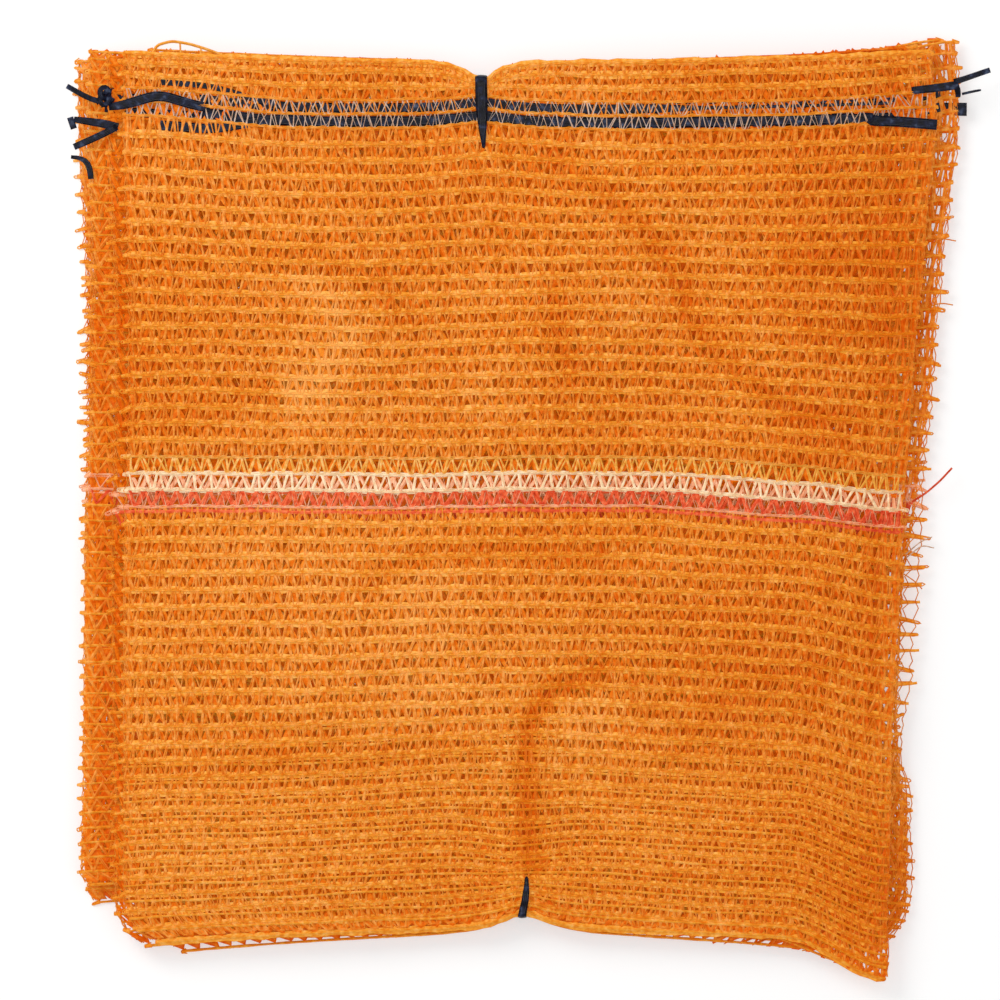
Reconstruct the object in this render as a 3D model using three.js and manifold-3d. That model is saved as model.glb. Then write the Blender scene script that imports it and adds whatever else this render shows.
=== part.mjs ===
// A tied bundle of flat, empty raschel net bags lying on a table, mouths towards +Y.
// Millimetres, +Z up, origin under the middle of the bundle.
// Each bag is a thin wavy solid as thick as its two net panels. Two drawstring tapes run through the
// net of every bag below its mouth, and two ties pass through the whole stack, at the mouth and the foot.
import * as THREE from "three";
import { mergeVertices } from "three/addons/utils/BufferGeometryUtils.js";
import Module from "manifold-3d";

const wasm = await Module();
wasm.setup();

// Driving dimensions of one bag
const ROW_PITCH = 8.4; // from one knitted chain to the next
const MOUTH_PITCH = 7.2; // the same in the first rows below the mouth, which lie closer
const MOUTH_ROWS = 5;
const BODY_ROWS = 49;
const BAG_HEIGHT = MOUTH_ROWS * MOUTH_PITCH + BODY_ROWS * ROW_PITCH;
const HALF_LEFT = 197.5; // from the middle line to the left side
const HALF_RIGHT = 186; // the same on the right, at the foot
const MOUTH_FLARE = 28; // how much further the right side reaches at the mouth
const FLARE_BEND = 1.7;
const MOUTH_TUCK = 6; // how far the mouth's right corner is turned in again
const TUCK_DEPTH = 20;
const MOUTH_SAG = 5; // dip of the mouth edge between its corners
const LIFT_START = 0.75; // share across at which the mouth's right corner begins to rise
const FOOT_ARCH = 7; // rise of the foot edge between its corners
const DROOP_START = 0.73; // share across at which the foot's right corner begins to drop
const HITCH_SPAN = [0.45, 0.86]; // shares across on the left between which the foot rises to a hitched-up corner

// Driving dimensions of the stack
const BAG_THICK = 2.6; // two net panels with the air between them
const GAP = 0.3; // between one bag and the next
const THINNEST = 0.7; // share of the thickness left where the stack is pressed most
const EDGE_SPAN = 45; // how far in from the outline the stack thins
const EDGE_PRESS = 0.25;
const STACK_HALF = { x: 205, y: 224 };

// Where each bag lies, from the bottom one up: shift of its middle and turn seen from above, radius and
// rise of the foot corner on its left, radius and drop of the one on its right, and the mouth corner's rise
const BAGS = [
  { x: -13, y: -0.5, turn: 0.7, corner: 9, hitch: 24, cut: 25, droop: 1, lift: 1 },
  { x: 17, y: -0.5, turn: 0.9, corner: 25, hitch: 0, cut: 24, droop: 0, lift: 5 },
  { x: 19, y: 1.5, turn: -0.4, corner: 25, hitch: 0, cut: 24, droop: 3, lift: 7 },
  { x: -12, y: 0, turn: -0.6, corner: 9, hitch: 28, cut: 25, droop: 0, lift: 1 },
  { x: 1, y: 1, turn: 0.5, corner: 25, hitch: 0, cut: 20, droop: 12, lift: 1 },
  { x: 7, y: 1, turn: 0, corner: 25, hitch: 0, cut: 3, droop: 18, lift: 0 },
];
const TOP_BAG = BAGS.length - 1;

// Soft bumps of the top surface: place, spread and share of a bag's thickness
const BUMPS = [
  { x: -85, y: 105, spread: 60, rise: 0.2 },
  { x: 30, y: 85, spread: 45, rise: 0.15 },
  { x: -95, y: -110, spread: 70, rise: 0.2 },
  { x: 130, y: -70, spread: 70, rise: 0.14 },
  { x: 95, y: 100, spread: 40, rise: -0.1 },
];

// Ties: middle, width, the hole they pass through the net, and the edge that they draw in
const TIE_THICK = 0.5;
const TIE_GAP = 0.3;
const TIE_PRESS = 0.32;
const TIE_PRESS_SPREAD = 45;
const TIE_LIFT = 1.5; // the stack stands this much off the table over a tie
const TIE_LIFT_SPREAD = 24;
const MOUTH_TIE = { x: -9.5, width: 6, hole: 176, edge: 211, decay: 9 };
const FOOT_TIE = { x: 12, width: 4, hole: -188.5, edge: -207.5, decay: 12.5 };
const TIES = [MOUTH_TIE, FOOT_TIE];
const TIE_FLAT = 4; // half width of the level strip under a tie
const TIE_ROOM = { x: 0.4, y: 0.5 }; // between a tie and the sides of its hole
const MOUTH_FADE = 12; // depth over which the pull on the mouth edge dies away
const GATHER_RISE = 4; // most that the rows below the mouth tie are drawn up
const GATHER_DEPTH = 40; // depth at which they are drawn up most
const FOOT_FADE = 35; // the same as the mouth's fade, at the foot

// Drawstring tapes and the shallow band below the mouth that they lie in
const TAPE_WIDTH = 5.5;
const TAPE_THICK = 0.4;
const TAPE_DEPTHS = { upper: 3.5 * MOUTH_PITCH, lower: 4.5 * MOUTH_PITCH };
const BAND_LOW = 177;
const BAND_HIGH = 220;
const BAND_STEP = 2.5;
const BAND_DEPTH = 0.6;
const BAND_RUN_UP = 138; // from here up to the band the stack levels out along Y
const TAPE_CLEAR = 0.1; // between a tape and the net under it
const TAPE_WRAP = 1.5; // how far a tape stands out at a bag's side
const LONG_WRAP = 8; // the slack loop of one bag's lower tape, on the right
const SLACK_BAG = 1;
const TAPE_TURN = 0.985; // share across at which a tape leaves a bag's face for its side
const TAPE_MARGIN = 3; // least distance from a bag's side to a lattice line that bends its tape
const TOP_UPPER_ENDS = [-0.97, 0.97]; // shares across between which the top bag's tapes lie on the net
const TOP_LOWER_ENDS = [-0.93, 0.975];

// Loose tape ends, as x, y and the storey of the stack that they lie on
const LOOSE_LIFT = TAPE_CLEAR + TAPE_THICK;
const TAIL_WIDTH = 4;
const TAIL_STOREY = 5.75; // where a tail joins its tape
const TAIL_JOIN = 4; // length that a tail and its tape share
const LEFT_TAIL = [[-216, 206, 4.6], [-209, 202, 4.9], [-202, 198, 5.4]];
const RIGHT_TAIL = [[230, 210, 5.6], [245, 215, 5.2]];
const KNOT = { x: -197, y: 201, halves: [4.2, 5.2, 2], lift: 1 };
const FOLD_WIDTH = { out: 4.5, back: 3.5 };
const FOLD_OUT = [[-215, 190, 5.1], [-203, 189.5, 5.15], [-192.5, 186.5, 5.2]];
const FOLD_BACK = [[-193, 186, 5.25], [-202, 181, 5.1], [-212, 177, 4.8]];
const HOOK_WIDTH = 3;
const HOOK = [[-214, 171.5, 4.1], [-209, 171, 4.1], [-206, 168.5, 4.1], [-204.5, 161, 4.1]];

// Lines of the lattice that every bag's faces are split on
const X_LINES = [
  -260, -190, -135, -85, -45,
  MOUTH_TIE.x - TIE_FLAT, MOUTH_TIE.x + TIE_FLAT, FOOT_TIE.x - TIE_FLAT, FOOT_TIE.x + TIE_FLAT,
  50, 90, 135, 190, 260,
];
const Y_LINES = [
  -270, FOOT_TIE.edge, FOOT_TIE.hole, -170, -135, -90, -35, 35, 90, BAND_RUN_UP,
  BAND_LOW - BAND_STEP, BAND_LOW, BAND_HIGH, BAND_HIGH + BAND_STEP, 260,
];

const clamp = THREE.MathUtils.clamp;
const smooth = THREE.MathUtils.smoothstep;
const hill = (distance, spread) => Math.exp(-((distance / spread) ** 2));

// Materials
const netOrange = new THREE.MeshStandardMaterial({ color: 0xdf8129, roughness: 0.5, metalness: 0 });
const tapeNavy = new THREE.MeshStandardMaterial({ color: 0x2a2c40, roughness: 0.35, metalness: 0 });

// Distance from a tie's front leg, which is a level strip from its hole to the edge it draws in
function tieDistance(tie, x, y) {
  const across = Math.max(0, Math.abs(x - tie.x) - TIE_FLAT);
  const nearest = clamp(y, Math.min(tie.hole, tie.edge), Math.max(tie.hole, tie.edge));
  return Math.hypot(across, y - nearest);
}

// Heights are level along Y through the tape band, so that the tapes lie flat in it
function levelled(y) {
  return THREE.MathUtils.lerp(y, (BAND_LOW + BAND_HIGH) / 2, smooth(y, BAND_RUN_UP, BAND_LOW - BAND_STEP));
}

// Thickness of one bag where it lies in the stack
function bagThickness(x, along) {
  const y = levelled(along);
  const inset = Math.min(STACK_HALF.x - Math.abs(x), STACK_HALF.y - Math.abs(y));
  let share = 1 - EDGE_PRESS * (1 - smooth(inset, 0, EDGE_SPAN));
  for (const bump of BUMPS) share += bump.rise * hill(Math.hypot(x - bump.x, y - bump.y), bump.spread);
  for (const tie of TIES) share -= TIE_PRESS * hill(tieDistance(tie, x, y), TIE_PRESS_SPREAD);
  return BAG_THICK * Math.max(share, THINNEST);
}

// Height of the stack's underside: on the table, and lifted a little over the ties
function underside(x, along) {
  const y = levelled(along);
  const lift = TIES.map((tie) => TIE_LIFT * hill(tieDistance(tie, x, y), TIE_LIFT_SPREAD));
  const height = Math.max(...lift);
  return height < 0.05 ? 0 : height;
}

// Depth of the tape band in each face of a bag
function bandDepth(y) {
  return BAND_DEPTH * (smooth(y, BAND_LOW - BAND_STEP, BAND_LOW) - smooth(y, BAND_HIGH, BAND_HIGH + BAND_STEP));
}

// The lattice strip that holds a value, and how far along the strip it is
function stripOf(lines, value) {
  let k = 0;
  while (k < lines.length - 2 && value > lines[k + 1]) k += 1;
  return [k, (value - lines[k]) / (lines[k + 1] - lines[k])];
}

// A field as the lattice's triangles hold it: each cell is split from its lower left to its upper right
function onLattice(field, x, y) {
  const [i, a] = stripOf(X_LINES, x);
  const [j, b] = stripOf(Y_LINES, y);
  const at = (di, dj) => field(X_LINES[i + di], Y_LINES[j + dj]);
  const near = at(0, 0);
  const far = at(1, 1);
  if (a > b) return near + a * (at(1, 0) - near) + b * (far - at(1, 0));
  return near + b * (at(0, 1) - near) + a * (far - at(0, 1));
}

// Height in the stack: storey 0 is the underside, storey n the top of the n-th bag
function storeyHeight(storey, x, y) {
  return onLattice(underside, x, y) + storey * onLattice(bagThickness, x, y) + (storey - 1) * GAP;
}

// How strongly a tie draws in the net beside it
function drawIn(tie, x, decay) {
  const beside = Math.max(0, Math.abs(x - tie.x) - TIE_FLAT);
  return Math.exp(-beside / decay);
}

// How far a rounded foot corner of a radius takes a side in, at a rise above the foot
function roundedOff(radius, rise) {
  const part = clamp(1 - rise / radius, 0, 1);
  return radius * (1 - Math.sqrt(1 - part ** 2));
}

// A point of a bag: share across from -1 to 1, and depth below the mouth along the net
function bagPoint(bag, share, depth) {
  const up = 1 - depth / BAG_HEIGHT;
  const down = 1 - up;
  const rise = BAG_HEIGHT - depth;
  const left = HALF_LEFT - roundedOff(bag.corner, rise);
  const flare = MOUTH_FLARE * up ** FLARE_BEND - MOUTH_TUCK * hill(depth, TUCK_DEPTH);
  const right = HALF_RIGHT + flare - roundedOff(bag.cut, rise);
  const arch = 1 - share ** 2;
  const x = share * (share < 0 ? left : right);
  const y =
    BAG_HEIGHT / 2 - depth +
    up ** 2 * (bag.lift * smooth(share, LIFT_START, 1) - MOUTH_SAG * arch) +
    down ** 2 * (FOOT_ARCH * arch + bag.hitch * smooth(-share, ...HITCH_SPAN)) -
    down ** 2 * bag.droop * smooth(share, DROOP_START, 1);
  const placed = new THREE.Vector2(x, y)
    .rotateAround(new THREE.Vector2(), THREE.MathUtils.degToRad(bag.turn))
    .add(new THREE.Vector2(bag.x, bag.y));
  const mouthPull = (MOUTH_TIE.edge - placed.y - depth) * hill(depth, MOUTH_FADE);
  const gather = GATHER_RISE * (depth / GATHER_DEPTH) * Math.exp(1 - depth / GATHER_DEPTH);
  const footPull = (FOOT_TIE.edge - placed.y + rise) * Math.exp(-rise / FOOT_FADE);
  const mouthDraw = drawIn(MOUTH_TIE, placed.x, MOUTH_TIE.decay + depth / 2);
  const footDraw = drawIn(FOOT_TIE, placed.x, FOOT_TIE.decay + rise / 2);
  placed.y += (mouthPull + gather) * mouthDraw + footPull * footDraw;
  return placed;
}

// The share across a bag at which the net at a depth reaches x
function shareAt(bag, x, depth) {
  let share = (x - bag.x) / HALF_LEFT;
  for (let k = 0; k < 6; k += 1) share += (x - bagPoint(bag, share, depth).x) / HALF_LEFT;
  return share;
}

// The four sides of a bag, from the mouth's left corner round by the foot
function bagOutline(bag) {
  const shares = (tie, depth) => {
    const even = [-1, -0.75, -0.5, -0.25, 0.25, 0.5, 0.7, 0.85, 1];
    const close = [-30, -14, -TIE_FLAT, TIE_FLAT, 14, 30].map((step) => shareAt(bag, tie.x + step, depth));
    return [...even, ...close].sort((a, b) => a - b);
  };
  const depths = [0.02, 0.2, 0.4, 0.6, 0.8].map((part) => part * BAG_HEIGHT);
  const corner = (radius) => [0.8, 0.45, 0.2, 0.06].map((part) => BAG_HEIGHT - part * radius);
  return [
    ...[...depths, ...corner(bag.corner)].map((depth) => bagPoint(bag, -1, depth)),
    ...shares(FOOT_TIE, BAG_HEIGHT).map((share) => bagPoint(bag, share, BAG_HEIGHT)),
    ...[...depths, ...corner(bag.cut)].reverse().map((depth) => bagPoint(bag, 1, depth)),
    ...shares(MOUTH_TIE, 0).reverse().map((share) => bagPoint(bag, share, 0)),
  ];
}

// A closed geometry as a solid that can be joined and cut
function solidOf(geometry) {
  const bare = geometry.clone();
  bare.deleteAttribute("normal");
  bare.deleteAttribute("uv");
  const merged = mergeVertices(bare, 1e-4);
  return new wasm.Manifold(
    new wasm.Mesh({
      numProp: 3,
      vertProperties: merged.attributes.position.array,
      triVerts: new Uint32Array(merged.index.array),
    }),
  );
}

function geometryOf(solid) {
  const mesh = solid.getMesh();
  return new THREE.BufferGeometry()
    .setAttribute("position", new THREE.BufferAttribute(mesh.vertProperties, 3))
    .setIndex(new THREE.BufferAttribute(mesh.triVerts, 1));
}

// Moves every vertex of a geometry to where place(x, y, z) says
function reshape(geometry, place) {
  const position = geometry.attributes.position;
  for (let k = 0; k < position.count; k += 1) {
    const moved = place(position.getX(k), position.getY(k), position.getZ(k));
    position.setXYZ(k, moved.x, moved.y, moved.z);
  }
  return geometry;
}

// A sheet over the whole lattice, between the two faces of one bag of the stack
function bagSheet(level) {
  const columns = X_LINES.length - 1;
  const rows = Y_LINES.length - 1;
  const sheet = reshape(new THREE.BoxGeometry(1, 1, 1, columns, rows, 1), (u, v, w) => {
    const x = X_LINES[Math.round((u + 0.5) * columns)];
    const y = Y_LINES[Math.round((v + 0.5) * rows)];
    const low = storeyHeight(level, x, y) + GAP + bandDepth(y);
    const high = storeyHeight(level + 1, x, y) - bandDepth(y);
    return new THREE.Vector3(x, y, w > 0 ? high : low);
  });
  // The under face comes last, and its cells are split the other way: split them as the upper face is
  const index = sheet.index.array;
  for (let k = index.length - 6 * columns * rows; k < index.length; k += 6) {
    const [a, b, d, , c] = index.slice(k, k + 6);
    index.set([a, b, c, a, c, d], k);
  }
  return solidOf(sheet);
}

// An upright block, for outlines and holes
function upright(points) {
  const geometry = new THREE.ExtrudeGeometry(new THREE.Shape(points), { depth: 100, bevelEnabled: false });
  return solidOf(geometry.translate(0, 0, -40));
}

function tieHole(tie) {
  const half = { x: tie.width / 2 + TIE_ROOM.x, y: TIE_THICK / 2 + TIE_ROOM.y };
  const corners = [[-1, -1], [1, -1], [1, 1], [-1, 1]];
  return upright(corners.map(([i, j]) => new THREE.Vector2(tie.x + i * half.x, tie.hole + j * half.y)));
}

function bagSolid(level) {
  let solid = bagSheet(level).intersect(upright(bagOutline(BAGS[level])));
  for (const tie of TIES) solid = solid.subtract(tieHole(tie));
  return solid;
}

// A closed loop of flat tape through stations that each give the tape's two edges and the way out of the loop
function tapeLoop(stations, thick) {
  const steps = stations.length;
  const loop = new THREE.TorusGeometry(2, 1, 4, steps);
  const corners = [[1, 1], [-1, 1], [-1, 0], [1, 0]];
  const position = loop.attributes.position;
  for (let k = 0; k < position.count; k += 1) {
    const { edges, out } = stations[(k % (steps + 1)) % steps];
    const [side, edge] = corners[Math.floor(k / (steps + 1)) % 4];
    const corner = edges[edge].clone().addScaledVector(out, (side * thick) / 2);
    position.setXYZ(k, corner.x, corner.y, corner.z);
  }
  return solidOf(loop);
}

// A flat tape with two ends, lying face up; height(x, y, k) gives the height of its middle layer at point k
function tapeStrip(places, width, thick, height) {
  const steps = places.length - 1;
  return solidOf(
    reshape(new THREE.BoxGeometry(1, 1, 1, steps, 1, 1), (u, v, w) => {
      const k = Math.round((u + 0.5) * steps);
      const along = places[Math.min(k + 1, steps)].clone().sub(places[Math.max(k - 1, 0)]).normalize();
      const x = places[k].x - along.y * v * width;
      const y = places[k].y + along.x * v * width;
      return new THREE.Vector3(x, y, height(x, y, k) + w * thick);
    }),
  );
}

// Shares across a bag where a tape needs a point: wherever it crosses a lattice line
function tapeShares(bag, depth) {
  const left = bagPoint(bag, -1, depth).x;
  const right = bagPoint(bag, 1, depth).x;
  const inner = X_LINES.filter((x) => x > left + TAPE_MARGIN && x < right - TAPE_MARGIN);
  return inner.map((x) => shareAt(bag, x, depth));
}

// Height of a tape's middle layer on a bag's upper face (side 1) or under face (side -1)
function tapeHeight(level, side, x, y) {
  const sunk = onLattice((_, line) => bandDepth(line), x, y) - TAPE_CLEAR - TAPE_THICK / 2;
  if (side > 0) return storeyHeight(level + 1, x, y) - sunk;
  return storeyHeight(level, x, y) + GAP + sunk;
}

// One drawstring: over the front of its bag, round the right side, back under it and round the left side
function drawstringLoop(level, depth, rightWrap) {
  const bag = BAGS[level];
  const station = (share, side, reach) => {
    const { x, y } = bagPoint(bag, share, depth);
    const edges = [-1, 1].map((edge) => {
      const edgeY = y + (edge * TAPE_WIDTH) / 2;
      return new THREE.Vector3(x + reach, edgeY, tapeHeight(level, side, x, edgeY));
    });
    return { edges, out: new THREE.Vector3(Math.sign(reach), 0, side) };
  };
  const run = [-TAPE_TURN, ...tapeShares(bag, depth), TAPE_TURN];
  return tapeLoop(
    [
      ...run.map((share) => station(share, 1, 0)),
      station(1, 1, rightWrap),
      station(1, -1, rightWrap),
      ...[...run].reverse().map((share) => station(share, -1, 0)),
      station(-1, -1, -TAPE_WRAP),
      station(-1, 1, -TAPE_WRAP),
    ],
    TAPE_THICK,
  );
}

// Places of a tape along the front of the top bag, from one share across to another
function topRun(depth, [from, to]) {
  const bag = BAGS[TOP_BAG];
  const shares = [from, ...tapeShares(bag, depth).filter((share) => share > from && share < to), to];
  return shares.map((share) => bagPoint(bag, share, depth));
}

const onTopBag = (x, y) => tapeHeight(TOP_BAG, 1, x, y);

// A loose tape end through places that each give x, y and the storey that it lies on
function looseEnd(places, width) {
  const middle = places.map(([x, y]) => new THREE.Vector2(x, y));
  const height = (x, y, k) => storeyHeight(places[k][2], places[k][0], places[k][1]) + LOOSE_LIFT;
  return tapeStrip(middle, width, TAPE_THICK, height);
}

// The top bag's upper drawstring, with a knot and a tail on the left and a long tail on the right
function topUpperDrawstring() {
  const run = topRun(TAPE_DEPTHS.upper, TOP_UPPER_ENDS);
  const start = run[0];
  const end = run[run.length - 1];
  const joined = (point, step) => [point.x + step, point.y, TAIL_STOREY];
  const leftTail = [...LEFT_TAIL, joined(start, 0), joined(start, TAIL_JOIN)];
  const rightTail = [joined(end, -TAIL_JOIN), joined(end, TAIL_JOIN), ...RIGHT_TAIL];
  const knot = new THREE.SphereGeometry(1, 10, 6).scale(...KNOT.halves);
  knot.translate(KNOT.x, KNOT.y, storeyHeight(TAIL_STOREY, KNOT.x, KNOT.y) + LOOSE_LIFT + KNOT.lift);
  return tapeStrip(run, TAPE_WIDTH, TAPE_THICK, onTopBag)
    .add(looseEnd(leftTail, TAIL_WIDTH))
    .add(looseEnd(rightTail, TAIL_WIDTH))
    .add(solidOf(knot));
}

// The top bag's lower drawstring, which ends square near the right side
function topLowerDrawstring() {
  return tapeStrip(topRun(TAPE_DEPTHS.lower, TOP_LOWER_ENDS), TAPE_WIDTH, TAPE_THICK, onTopBag);
}

// A tie: over the top of the stack to its hole, down through it, back underneath and up round the edge
function tieLoop(tie) {
  const outward = Math.sign(tie.edge - tie.hole);
  const clear = TIE_GAP + TIE_THICK / 2;
  const between = Y_LINES.filter((y) => (y - tie.hole) * outward > 0 && (tie.edge - y) * outward > 0);
  const station = (y, side, end) => {
    const surface = side > 0 ? storeyHeight(TOP_BAG + 1, tie.x, y) : onLattice(underside, tie.x, y);
    const reach = end > 0 ? outward * clear : 0;
    const edges = [-1, 1].map(
      (edge) => new THREE.Vector3(tie.x - (outward * edge * tie.width) / 2, y + reach, surface + side * clear),
    );
    return { edges, out: new THREE.Vector3(0, end * outward, side) };
  };
  const leg = (side) => [
    station(tie.hole, side, -1),
    ...(outward > 0 ? between : [...between].reverse()).map((y) => station(y, side, 0)),
    station(tie.edge, side, 1),
  ];
  return tapeLoop([...leg(1), ...leg(-1).reverse()], TIE_THICK);
}

// The bundle
const bundle = new THREE.Group();

function addPiece(name, solid, material) {
  const mesh = new THREE.Mesh(geometryOf(solid), material.clone());
  mesh.name = name;
  bundle.add(mesh);
}

BAGS.forEach((bag, level) => {
  addPiece(`bag_${level + 1}`, bagSolid(level), netOrange);
  if (level === TOP_BAG) return;
  for (const [row, depth] of Object.entries(TAPE_DEPTHS)) {
    const slack = level === SLACK_BAG && row === "lower";
    const loop = drawstringLoop(level, depth, slack ? LONG_WRAP : TAPE_WRAP);
    addPiece(`drawstring_${row}_${level + 1}`, loop, tapeNavy);
  }
});
addPiece(`drawstring_upper_${TOP_BAG + 1}`, topUpperDrawstring(), tapeNavy);
addPiece(`drawstring_lower_${TOP_BAG + 1}`, topLowerDrawstring(), tapeNavy);
const foldedEnd = looseEnd(FOLD_OUT, FOLD_WIDTH.out).add(looseEnd(FOLD_BACK, FOLD_WIDTH.back));
addPiece("drawstring_end_folded", foldedEnd, tapeNavy);
addPiece("drawstring_end_hooked", looseEnd(HOOK, HOOK_WIDTH), tapeNavy);
addPiece("tie_mouth", tieLoop(MOUTH_TIE), tapeNavy);
addPiece("tie_foot", tieLoop(FOOT_TIE), tapeNavy);

// Bring the origin under the middle of the bundle
const box = new THREE.Box3().setFromObject(bundle);
const middle = box.getCenter(new THREE.Vector3());
bundle.position.set(-middle.x, -middle.y, -box.min.z);

export default bundle;
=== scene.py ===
"""Looks of a tied bundle of flat, empty raschel net bags.

Each bag has a front and a back panel of knitted net. Chains run across the bag, and lap tapes zigzag in the
lanes between neighbouring chains. Navy drawstring tapes are laced below the mouth. Two ties hold the stack.
Lengths are in millimetres in the stack's own plan, and are set down in metres in the frame of the solids.
"""

import bmesh
import bpy
import numpy as np
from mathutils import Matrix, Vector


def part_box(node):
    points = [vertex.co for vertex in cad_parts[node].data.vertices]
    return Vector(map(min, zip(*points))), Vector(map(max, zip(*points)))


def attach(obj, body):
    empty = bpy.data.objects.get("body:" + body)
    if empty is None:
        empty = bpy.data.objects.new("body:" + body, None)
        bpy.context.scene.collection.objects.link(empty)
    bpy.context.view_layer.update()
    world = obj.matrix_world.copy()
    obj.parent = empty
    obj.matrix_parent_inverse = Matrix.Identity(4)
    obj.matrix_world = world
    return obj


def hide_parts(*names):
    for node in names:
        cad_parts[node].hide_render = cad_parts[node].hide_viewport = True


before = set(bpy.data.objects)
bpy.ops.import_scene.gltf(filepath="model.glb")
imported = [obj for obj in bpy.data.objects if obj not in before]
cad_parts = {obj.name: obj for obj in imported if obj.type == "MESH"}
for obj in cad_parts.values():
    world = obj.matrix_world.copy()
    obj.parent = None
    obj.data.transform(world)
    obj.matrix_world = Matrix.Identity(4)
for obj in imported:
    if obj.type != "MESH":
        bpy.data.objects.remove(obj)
seeded = np.random.default_rng
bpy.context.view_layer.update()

# One bag
ROW_PITCH = 8.4
MOUTH_PITCH = 7.2
MOUTH_ROWS = 5
BODY_ROWS = 49
LANES = MOUTH_ROWS + BODY_ROWS
BAG_HEIGHT = MOUTH_ROWS * MOUTH_PITCH + BODY_ROWS * ROW_PITCH
HALF_LEFT = 197.5
HALF_RIGHT = 186
MOUTH_FLARE = 28
FLARE_BEND = 1.7
MOUTH_TUCK = 6
TUCK_DEPTH = 20
MOUTH_SAG = 5
LIFT_START = 0.75
FOOT_ARCH = 7
DROOP_START = 0.73
HITCH_SPAN = (0.45, 0.86)

# The stack, from the bottom bag up
BAG_THICK = 2.6
GAP = 0.3
THINNEST = 0.7
EDGE_SPAN = 45
EDGE_PRESS = 0.25
STACK_HALF = (205, 224)
# Of each bag: corner and cut round its foot, left and right, hitch draws the foot up on the left, droop and
# lift move the right of foot and mouth, and inset is from the right side to the seam, from the top down
MEASURES = ("x", "y", "turn", "corner", "hitch", "cut", "droop", "lift", "stripe", "inset")
BAGS = [dict(zip(MEASURES, bag)) for bag in (
    (-13, -0.5, 0.7, 9, 24, 25, 1, 1, 1, (4, 3, 3)),
    (17, -0.5, 0.9, 25, 0, 24, 0, 5, 0, (6, 20, 4)),
    (19, 1.5, -0.4, 25, 0, 24, 3, 7, 0, (4, 10, 4)),
    (-12, 0, -0.6, 9, 28, 25, 0, 1, 1, (6, 4, 3)),
    (1, 1, 0.5, 25, 0, 20, 12, 1, 1, (6, 4, 3)),
    (7, 1, 0, 25, 0, 3, 18, 0, 0, (0.5, 0.4, 0.3)),
)]
TOP_BAG = len(BAGS) - 1
OUTER_BAG = 2
UNDER_BAG = TOP_BAG - 1
LEFT_BAGS = (0, 3)  # which stand out on the left
LEFT_STRIP = 0.14  # share of their width
OPEN_PANEL = (3, True)  # the uppermost panel there
COVER_LEFT = (-190, -180)  # plan x of the top bag's sides, inside which bags below get painted shade
COVER_RIGHT = (180, 192)

# Thicker and thinner places: plan x and y, spread and share
BUMPS = [
    (-85, 105, 60, 0.2), (30, 85, 45, 0.15), (-95, -110, 70, 0.2), (130, -70, 70, 0.14), (95, 100, 40, -0.1),
]

# Swells and hollows of the top: plan x and y, spread and rise
SWELLS = [
    (-85, 100, 42, 2.2), (30, 82, 36, 1.8), (-95, -112, 46, 2.4), (92, 95, 34, -1.6), (70, -60, 40, 1.2),
    (165, 55, 30, -1), (-150, -40, 34, -1), (110, -150, 40, -1),
]
WAVES = [(0.6, 1, 48, 11), (0.3, 1.6, 21, 12)]  # rise, how much shorter along the bag, size and seed
RIDGE = dict(x=17, y=-140, lean=0.12, spread=8, rise=1.6)  # beside the fold above the foot tie
RIDGE_START, RIDGE_END = (-203, -175), (-125, -85)  # plan y
FAN = dict(folds=6, rise=0.5, fade=60, start=(8, 30))  # small folds out from the foot tie
BAND_FLAT = 0.6  # share of all these that the tapes' band takes out

# Painted highlights where the net is paler on its swells, and below zero painted shade where it is deeper: plan
# x and y, spread and how far
SHEEN_AND_SHADE_SPOTS = [
    (-85, 90, 45, 0.3), (-95, 58, 16, 0.6), (-10, 105, 18, 0.4), (-5, 55, 20, 0.5), (65, 100, 15, 0.6),
    (110, 125, 30, 0.4), (-105, -90, 22, 0.5), (-35, -47, 18, 0.5), (-120, -40, 42, 0.5), (-70, -60, 40, 0.4),
    (45, -110, 16, 0.6), (-40, -95, 18, 0.4), (160, 20, 34, -0.3), (20, 165, 24, -0.4), (-185, -20, 24, -0.3),
    (150, -190, 60, -0.2), (-85, 150, 45, 0.45), (-100, -30, 55, 0.4), (90, -35, 50, 0.35), (125, 150, 30, 0.3),
    (150, 28, 24, -0.4), (185, -185, 22, -0.4), (-60, -90, 40, 0.25), (20, 85, 40, 0.2),
]
PATCHES = (0.3, 60, 13)  # how far, size and seed
RIGHT_DEEP = (0.32, (40, 190))  # how far, and plan x
LEFT_PALE = (0.5, (-210, -203))
# Strips of painted shade along the top bag's sides: plan x, spread, how far, plan y of a change, and shares
# below and above it
EDGE_SHADE_STRIPS = [(-196.5, 6, 0.8, (-20, 40), (1, 0.3)), (197, 10, 0.4, (20, 60), (0, 1))]

# Soft folds, sharpest first: plan points, spread, and how far painted shade deepens the colour along them, or
# below zero how far a painted highlight makes it paler
FOLDS = [
    ([(15, -182), (13.5, -130), (15, -110), (25, -96), (50, -86)], 5.5, 1.4),
    ([(30, 172), (50, 155), (75, 132), (91, 108), (96, 90), (115, 67), (140, 48), (172, 38)], 5.5, 0.75),
    ([(28, 104), (27, 82), (36, 66)], 5, 0.7),
    ([(-66, -41), (-40, -28), (-5, -25), (50, -27)], 5.5, 0.7),
    ([(-120, 122), (-90, 122), (-62, 112), (-47, 90)], 6, 0.45),
    ([(-185, 40), (-145, 45), (-115, 56)], 8, 0.45),
    ([(-187, -134), (-140, -135), (-100, -127)], 7, 0.5),
    ([(-66, -131), (-40, -122), (-10, -125)], 6, 0.4),
    ([(142, 120), (210, 120)], 5, 0.5),
    ([(152, 85), (210, 86)], 6, 0.6),
    ([(88, -132), (100, -110), (130, -90), (172, -80)], 6, 0.3),
    ([(187, -8), (186, -112)], 4.5, 0.5),
    ([(-102, 110), (-80, 96), (-76, 80), (-90, 65), (-104, 52)], 6, -0.8),
]
SHARP_FOLDS = 4  # of them, which are valleys too

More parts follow.
